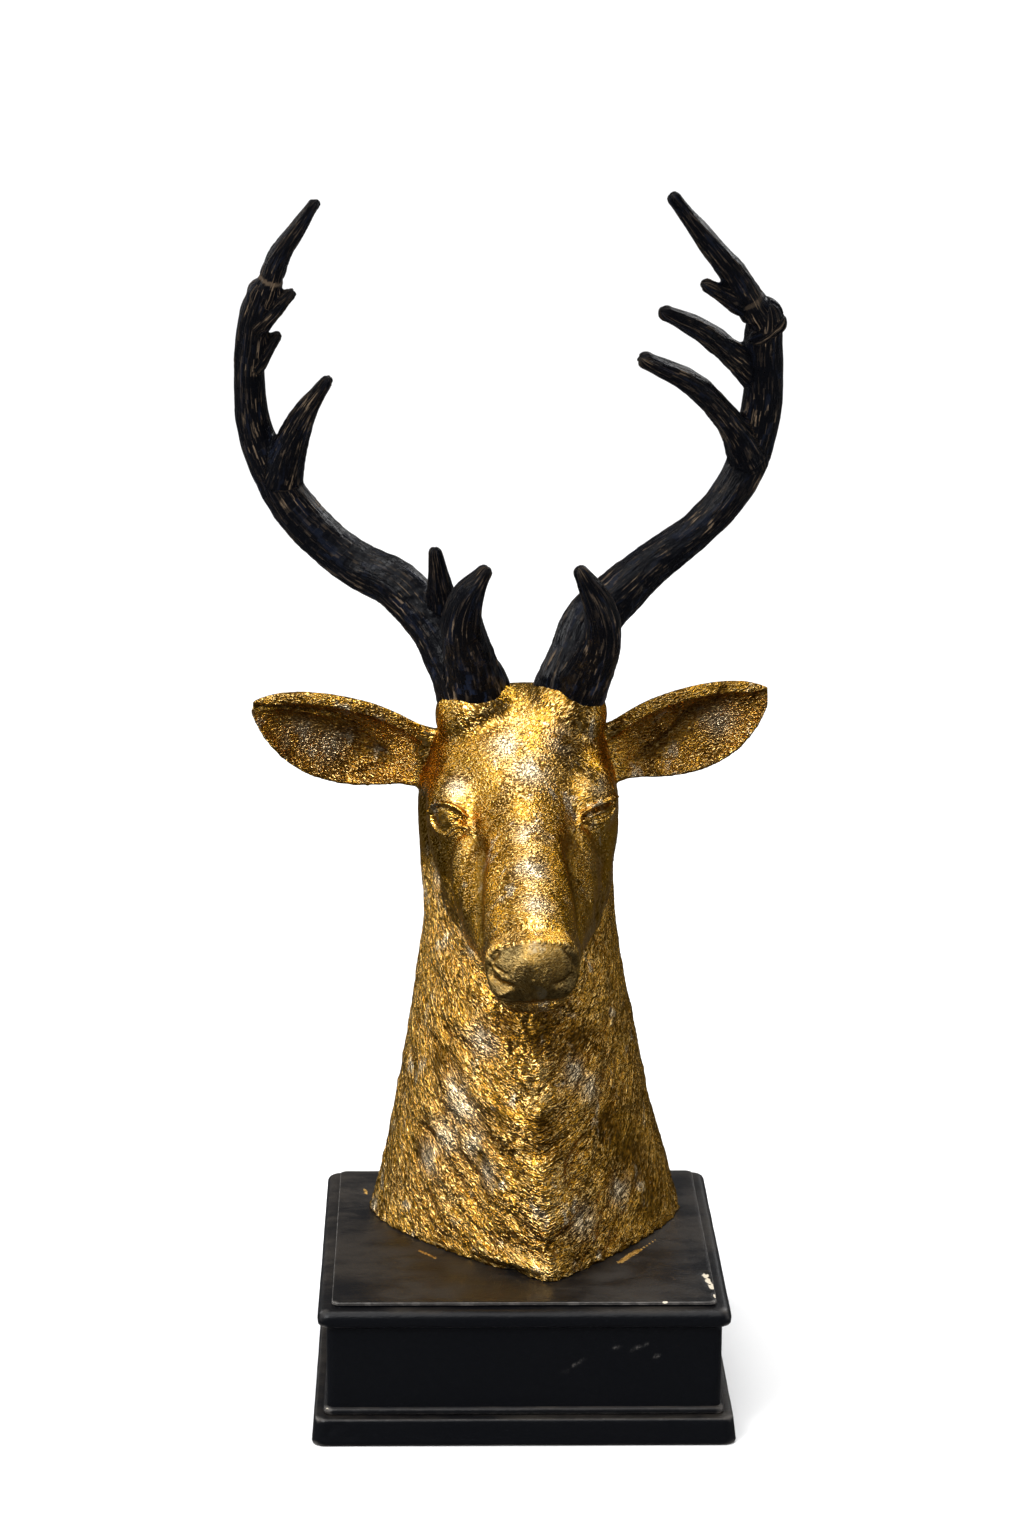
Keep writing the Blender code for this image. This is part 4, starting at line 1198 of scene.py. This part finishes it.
class Shader:
    """One material's nodes: each call adds a node and gives the socket that carries its result."""

    def __init__(self, name):
        self.material = bpy.data.materials.new(name)
        self.material.use_nodes = True
        self.tree = self.material.node_tree
        self.surface = self.tree.nodes["Principled BSDF"]

    def feed(self, socket, value):
        if isinstance(value, bpy.types.NodeSocket):
            self.tree.links.new(value, socket)
        else:
            socket.default_value = value

    def node(self, kind, inputs, output=0, **settings):
        node = self.tree.nodes.new("ShaderNode" + kind)
        for name, value in settings.items():
            setattr(node, name, value)
        for key, value in inputs.items():
            self.feed(node.inputs[key], value)
        return node.outputs[output]

    def number(self, name):
        return self.node("Attribute", {}, "Fac", attribute_name=name)

    def vector(self, name, scale):
        stored = self.node("Attribute", {}, "Vector", attribute_name=name)
        return self.node("VectorMath", {0: stored, 1: scale}, operation="MULTIPLY")

    def place(self, scale):
        """Object coordinates, which are metres here, times a scale on each axis."""
        here = self.node("TexCoord", {}, "Object")
        return self.node("VectorMath", {0: here, 1: scale}, operation="MULTIPLY")

    def noise(self, vector, detail=2.0, roughness=0.5, distortion=0.0):
        inputs = {"Vector": vector, "Scale": 1.0, "Detail": detail}
        return self.node("TexNoise", {**inputs, "Roughness": roughness, "Distortion": distortion})

    def span(self, value, low, high, start=0.0, end=1.0):
        """start below low, end above high, and a smooth step between."""
        inputs = {0: value, 1: low, 2: high, 3: start, 4: end}
        return self.node("MapRange", inputs, interpolation_type="SMOOTHSTEP")

    def math(self, operation, first, second):
        return self.node("Math", {0: first, 1: second}, operation=operation)

    def times(self, first, second):
        return self.math("MULTIPLY", first, second)

    def plus(self, first, second):
        return self.math("ADD", first, second)

    def most(self, first, second):
        return self.math("MAXIMUM", first, second)

    def mix(self, share, first, second):
        return self.node("Mix", {0: share, 2: first, 3: second})

    def paint(self, share, first, second):
        return self.node("Mix", {0: share, 6: first, 7: second}, 2, data_type="RGBA")

    def bump(self, height, distance):
        return self.node("Bump", {"Height": height, "Distance": distance})

    def finish(self, **inputs):
        for name, value in inputs.items():
            self.feed(self.surface.inputs[name.replace("_", " ")], value)
        return self.material


# Depth of each material's bump in metres
GOLD_BUMP = 0.0024
ANTLER_BUMP = 0.0028
PLINTH_BUMP = 0.0007

# Size of the strokes of each noise, across, along and over, and how much the areas of painted highlight and
# painted shade weigh
NECK_STROKES = (0.72, 0.26, 0.18)
FACE_STROKES = (0.85, 0.40, 0.24)
EAR_STROKES = (0.80, 0.34, 0.4)
SWATHES = (0.13, 0.05, 0.04)
ANTLER_RIDGES = (2.6, 2.6, 0.045)
ANTLER_FIBRES = (9.0, 9.0, 0.055)
PAINTED_HIGHLIGHT_SHARE = 0.12
PAINTED_SHADE_SHARE = -0.45

# Colours of the materials
GOLD_DEEP = (0.27, 0.12, 0.010, 1.0)
GOLD_WARM = (0.56, 0.285, 0.032, 1.0)
GOLD_LIGHT = (0.78, 0.52, 0.18, 1.0)
GOLD_PALE = (0.78, 0.68, 0.48, 1.0)
GOLD_EDGE = (1.0, 0.76, 0.40, 1.0)
# Brown patina, also used for painted shade
PATINA_AND_SHADE = (0.036, 0.020, 0.005, 1.0)
NOSE_OLIVE = (0.17, 0.125, 0.05, 1.0)
BLACK_ANTLER = (0.0018, 0.0020, 0.0030, 1.0)
# Bluish colour of the painted sheen on the antlers
BLUE_SHEEN = (0.008, 0.012, 0.025, 1.0)
DRY_BRUSH = (0.17, 0.12, 0.075, 1.0)
BLACK_PLINTH = (0.0022, 0.0026, 0.0038, 1.0)
DUSTY_PLINTH = (0.026, 0.022, 0.018, 1.0)
# Pale colour of wear and of painted highlights along the plinth's edges, also of its scratches
RUBBED_AND_HIGHLIT = (0.25, 0.23, 0.21, 1.0)
CREAM = (0.72, 0.64, 0.50, 1.0)


def gilding():
    """Gold leaf over short crinkled hair strokes, with brown patina between them and worn silvery places,
    painted highlights on the strokes' tops, on some worn places and in broad areas, and painted shade along
    the bridge's valleys, under the ears' rims, at the foot and in broad areas.
    """
    s = Shader("gilding")
    face = s.number("face")
    ear = s.number("ear")
    pad = s.number("pad")
    strands = s.noise(s.vector("neck_comb", NECK_STROKES), 1.0, 0.5, 0.8)
    bridge = s.noise(s.vector("face_comb", FACE_STROKES), 1.0, 0.5, 0.8)
    shell = s.noise(s.vector("ear_comb", EAR_STROKES), 1.0, 0.5, 0.8)
    hair = s.mix(ear, s.mix(face, strands, bridge), shell)
    tone = s.noise(s.place((36, 36, 26)), 3.0, 0.6)
    flakes = s.noise(s.place((48, 48, 34)), 4.0, 0.65)
    swathes = s.noise(s.vector("neck_comb", SWATHES), 2.0, 0.6, 0.6)
    leaf = s.paint(s.span(tone, 0.38, 0.60), GOLD_DEEP, GOLD_WARM)
    # Painted light: broad areas of painted highlight (above zero) and of painted shade (below zero)
    painted_light = s.number("painted_light")
    lit = s.plus(hair, s.times(painted_light, PAINTED_HIGHLIGHT_SHARE))
    # Paler gold on the strokes' tops and in the broad areas of painted highlight: a painted highlight
    leaf = s.paint(s.span(lit, 0.50, 0.64), leaf, GOLD_LIGHT)
    # Pale silvery leaf: worn places, some of them painted highlights, and random flaking wear
    worn_and_highlit = s.most(s.times(s.number("worn_and_highlit"), 0.95), s.span(flakes, 0.58, 0.70))
    worn_and_highlit = s.times(worn_and_highlit, s.span(flakes, 0.34, 0.50))
    leaf = s.paint(s.times(worn_and_highlit, 0.75), leaf, GOLD_PALE)
    leaf = s.paint(s.times(pad, s.span(tone, 0.3, 0.6, 0.95, 0.65)), leaf, NOSE_OLIVE)
    shaded = s.plus(lit, s.span(s.mix(face, swathes, tone), 0.30, 0.62, -0.10, 0.05))
    low = s.times(s.span(shaded, 0.46, 0.34), s.mix(face, 1.0, 0.85))
    sunk = s.span(s.number("fine_hollow"), 0.14, 0.70)
    deep = s.span(s.number("hollow"), 1.6, 5.0)
    dark = s.most(s.times(low, 0.92), s.times(sunk, 0.7))
    # Painted shade along the bridge's valleys, under the ears' rims, at the foot and in the broad dark areas,
    # over the brown patina of the hollows and between the strokes
    shade = s.most(s.times(deep, 0.35), s.times(s.number("shade"), 0.65))
    dark = s.most(dark, s.most(shade, s.times(painted_light, PAINTED_SHADE_SHARE)))
    mottle = s.noise(s.place((130, 130, 150)), 3.0, 0.6)
    dark = s.most(dark, s.times(pad, s.span(mottle, 0.48, 0.62, 0.0, 0.35)))
    colour = s.paint(dark, leaf, PATINA_AND_SHADE)
    rough = s.mix(pad, s.mix(dark, s.mix(flakes, 0.27, 0.15), 0.40), 0.34)
    smooth = s.number("smooth")
    height = s.times(hair, s.mix(smooth, s.mix(ear, s.mix(face, 0.58, 0.42), 0.95), 0.25))
    return s.finish(
        Base_Color=colour,
        Metallic=1.0,
        Roughness=rough,
        Specular_Tint=GOLD_EDGE,
        Normal=s.bump(height, GOLD_BUMP),
    )


def antler_black():
    """Black paint over long ridges, dry-brushed with brown and gold where they stand proud, with a painted
    bluish sheen along the ridges.
    """
    s = Shader("antler_black")
    ridges = s.noise(s.vector("grain", ANTLER_RIDGES), 4.0, 0.6, 0.4)
    fibres = s.noise(s.vector("grain", ANTLER_FIBRES), 2.0, 0.6, 0.3)
    patches = s.noise(s.place((38, 38, 26)), 3.0, 0.6)
    proud = s.span(s.number("fine_hollow"), 0.05, -0.25)
    brushed = s.times(s.span(fibres, 0.56, 0.68), s.span(patches, 0.46, 0.62))
    brushed = s.most(brushed, s.times(s.number("ring"), 0.9))
    brushed = s.most(brushed, s.times(s.times(proud, s.span(fibres, 0.52, 0.64)), 0.35))
    # Painted bluish sheen along the ridges: a painted highlight, stronger near the skull
    sheen = s.times(s.span(ridges, 0.54, 0.64), s.mix(s.number("base"), 0.3, 1.0))
    colour = s.paint(sheen, BLACK_ANTLER, BLUE_SHEEN)
    colour = s.paint(s.times(brushed, 0.7), colour, DRY_BRUSH)
    rough = s.mix(brushed, s.mix(patches, 0.20, 0.36), 0.6)
    height = s.plus(s.times(ridges, 0.7), s.times(fibres, 0.3))
    return s.finish(
        Base_Color=colour, Roughness=rough, Specular_IOR_Level=0.07, Normal=s.bump(height, ANTLER_BUMP)
    )


def plinth_black():
    """Satin black, dustier on top, rubbed along its edges, which also carry painted highlights, with cream
    chips, painted highlights on the panel's front top edge, and traces of gold.
    """
    s = Shader("plinth_black")
    broad = s.noise(s.place((14, 14, 22)), 4.0, 0.6)
    streaks = s.noise(s.place((22, 60, 90)), 3.0, 0.65, 0.6)
    fine = s.noise(s.place((600, 600, 600)), 3.0, 0.6)
    up = s.node("SeparateXYZ", {0: s.node("NewGeometry", {}, "Normal")}, 2)
    top = s.span(up, 0.5, 0.9)
    dust = s.span(s.plus(broad, s.times(streaks, 0.5)), 0.60, 0.95, 0.12, 1.0)
    dust = s.times(top, dust)
    colour = s.paint(dust, BLACK_PLINTH, DUSTY_PLINTH)
    # Pale along the profile's edges and the corners: partly wear, partly painted highlight
    worn_and_highlit = s.plus(s.number("edge"), s.times(s.number("corner"), 0.35))
    nicks = s.span(s.noise(s.place((120, 120, 160)), 4.0, 0.7), 0.46, 0.62)
    rubbed_and_highlit = s.times(s.span(worn_and_highlit, 0.35, 1.0), s.mix(nicks, 0.22, 0.5))
    colour = s.paint(rubbed_and_highlit, colour, RUBBED_AND_HIGHLIT)
    colour = s.paint(s.times(s.number("scratch"), s.span(fine, 0.42, 0.60, 0.05, 0.3)), colour, RUBBED_AND_HIGHLIT)
    flecks = s.noise(s.place((260, 260, 260)), 3.0, 0.7)
    # Cream where chipped, and on the painted highlights of the panel's front top edge
    chipped_and_highlit = s.span(s.times(s.number("chip_and_highlight"), flecks), 0.21, 0.30)
    colour = s.paint(chipped_and_highlit, colour, CREAM)
    crumbs = s.noise(s.place((620, 620, 620)), 3.0, 0.75)
    gold = s.span(s.times(s.number("smear"), crumbs), 0.30, 0.38)
    colour = s.paint(gold, colour, s.paint(s.span(crumbs, 0.45, 0.65), GOLD_WARM, GOLD_LIGHT))
    rough = s.mix(s.most(dust, chipped_and_highlit), s.mix(broad, 0.24, 0.40), 0.55)
    height = s.plus(s.times(fine, 0.35), s.times(streaks, 0.65))
    height = s.plus(height, s.times(gold, crumbs))
    return s.finish(
        Base_Color=colour,
        Metallic=s.times(gold, 0.9),
        Roughness=rough,
        Specular_IOR_Level=0.2,
        Normal=s.bump(height, PLINTH_BUMP),
    )


def pale_floor():
    s = Shader("pale_floor")
    tone = s.noise(s.place((3, 3, 3)), 2.0)
    return s.finish(Base_Color=s.paint(tone, *FLOOR_GREYS), Roughness=0.9)


# Camera of the photograph: place, how far it looks down and turns right, its small roll, and its lens
CAMERA_PLACE = (-0.07311, -2.98117, 1.21629)
CAMERA_DOWN = math.radians(13.4002)
CAMERA_TURN = math.radians(1.23779)
CAMERA_ROLL = math.radians(0.29047)
CAMERA_LENS = 90.239
CAMERA_SENSOR = 36.0


def place_camera():
    data = bpy.data.cameras.new("camera")
    data.lens = CAMERA_LENS
    data.sensor_width = CAMERA_SENSOR
    camera = bpy.data.objects.new("camera", data)
    facing = Matrix.Rotation(-CAMERA_TURN, 4, "Z") @ Matrix.Rotation(math.pi / 2 - CAMERA_DOWN, 4, "X")
    facing = facing @ Matrix.Rotation(CAMERA_ROLL, 4, "Z")
    camera.matrix_world = Matrix.Translation(CAMERA_PLACE) @ facing
    bpy.context.scene.collection.objects.link(camera)
    bpy.context.scene.camera = camera


# Soft lights: place, what they aim at, width, height, power; then the sun, the surroundings and the round
# floor with its sloping rim
SOFT_LIGHTS = {
    "key": ((-1.7, -2.2, 2.2), (0, 0, 0.55), 1.0, 1.0, 58.0),
    "overhead": ((0.25, 0.6, 2.9), (0, 0, 0.5), 0.40, 1.3, 22.0),
    "left": ((-2.9, -0.2, 0.7), (0, 0, 0.5), 0.6, 1.3, 6.0),
    "right": ((2.9, -0.3, 0.6), (0, 0, 0.5), 0.8, 1.2, 8.0),
    "back": ((1.4, 2.4, 2.0), (0, 0, 0.6), 1.0, 1.0, 22.0),
    "far": ((-2.2, 1.8, 1.6), (0, 0, 0.6), 0.8, 1.2, 16.0),
}
SUN_STRENGTH = 3.3
SUN_SPREAD = math.radians(80.0)
SUN_TILT = (math.radians(18), math.radians(-14), 0)
STUDIO_GREY = (0.095, 0.095, 0.098, 1.0)
FLOOR_GREYS = ((0.955, 0.955, 0.955, 1.0), (0.975, 0.975, 0.975, 1.0))
FLOOR_RADIUS = 40.0
FLOOR_SIDES = 96
RIM_RADIUS = 50.0
RIM_HEIGHT = 12.0


def place_lights():
    for name, (place, aim, width, height, power) in SOFT_LIGHTS.items():
        data = bpy.data.lights.new(name, "AREA")
        data.shape = "RECTANGLE"
        data.size = width
        data.size_y = height
        data.energy = power
        light = bpy.data.objects.new(name, data)
        light.location = place
        light.rotation_euler = (Vector(aim) - Vector(place)).to_track_quat("-Z", "Y").to_euler()
        bpy.context.scene.collection.objects.link(light)
    data = bpy.data.lights.new("sun", "SUN")
    data.energy = SUN_STRENGTH
    data.angle = SUN_SPREAD
    sun = bpy.data.objects.new("sun", data)
    sun.rotation_euler = SUN_TILT
    bpy.context.scene.collection.objects.link(sun)


def place_world():
    world = bpy.data.worlds.new("studio")
    world.use_nodes = True
    tree = world.node_tree
    tree.nodes["Background"].inputs["Color"].default_value = STUDIO_GREY
    tree.nodes["Background"].inputs["Strength"].default_value = 1.0
    bpy.context.scene.world = world
    bpy.context.scene.view_settings.view_transform = "Standard"


def place_floor():
    builder = bmesh.new()
    bmesh.ops.create_circle(builder, cap_ends=True, segments=FLOOR_SIDES, radius=FLOOR_RADIUS)
    bmesh.ops.create_cone(
        builder,
        segments=FLOOR_SIDES,
        radius1=FLOOR_RADIUS,
        radius2=RIM_RADIUS,
        depth=RIM_HEIGHT,
        matrix=Matrix.Translation((0, 0, RIM_HEIGHT / 2)),
    )
    mesh = bpy.data.meshes.new("floor")
    builder.to_mesh(mesh)
    builder.free()
    floor = add_object("floor", mesh)
    floor.data.materials.append(pale_floor())
    floor.visible_glossy = False


place_camera()
place_lights()
place_world()
place_floor()
make_plinth().data.materials.append(plinth_black())
make_head().data.materials.append(gilding())
black = antler_black()
for side in ANTLER_LIMBS:
    make_antler(side).data.materials.append(black)
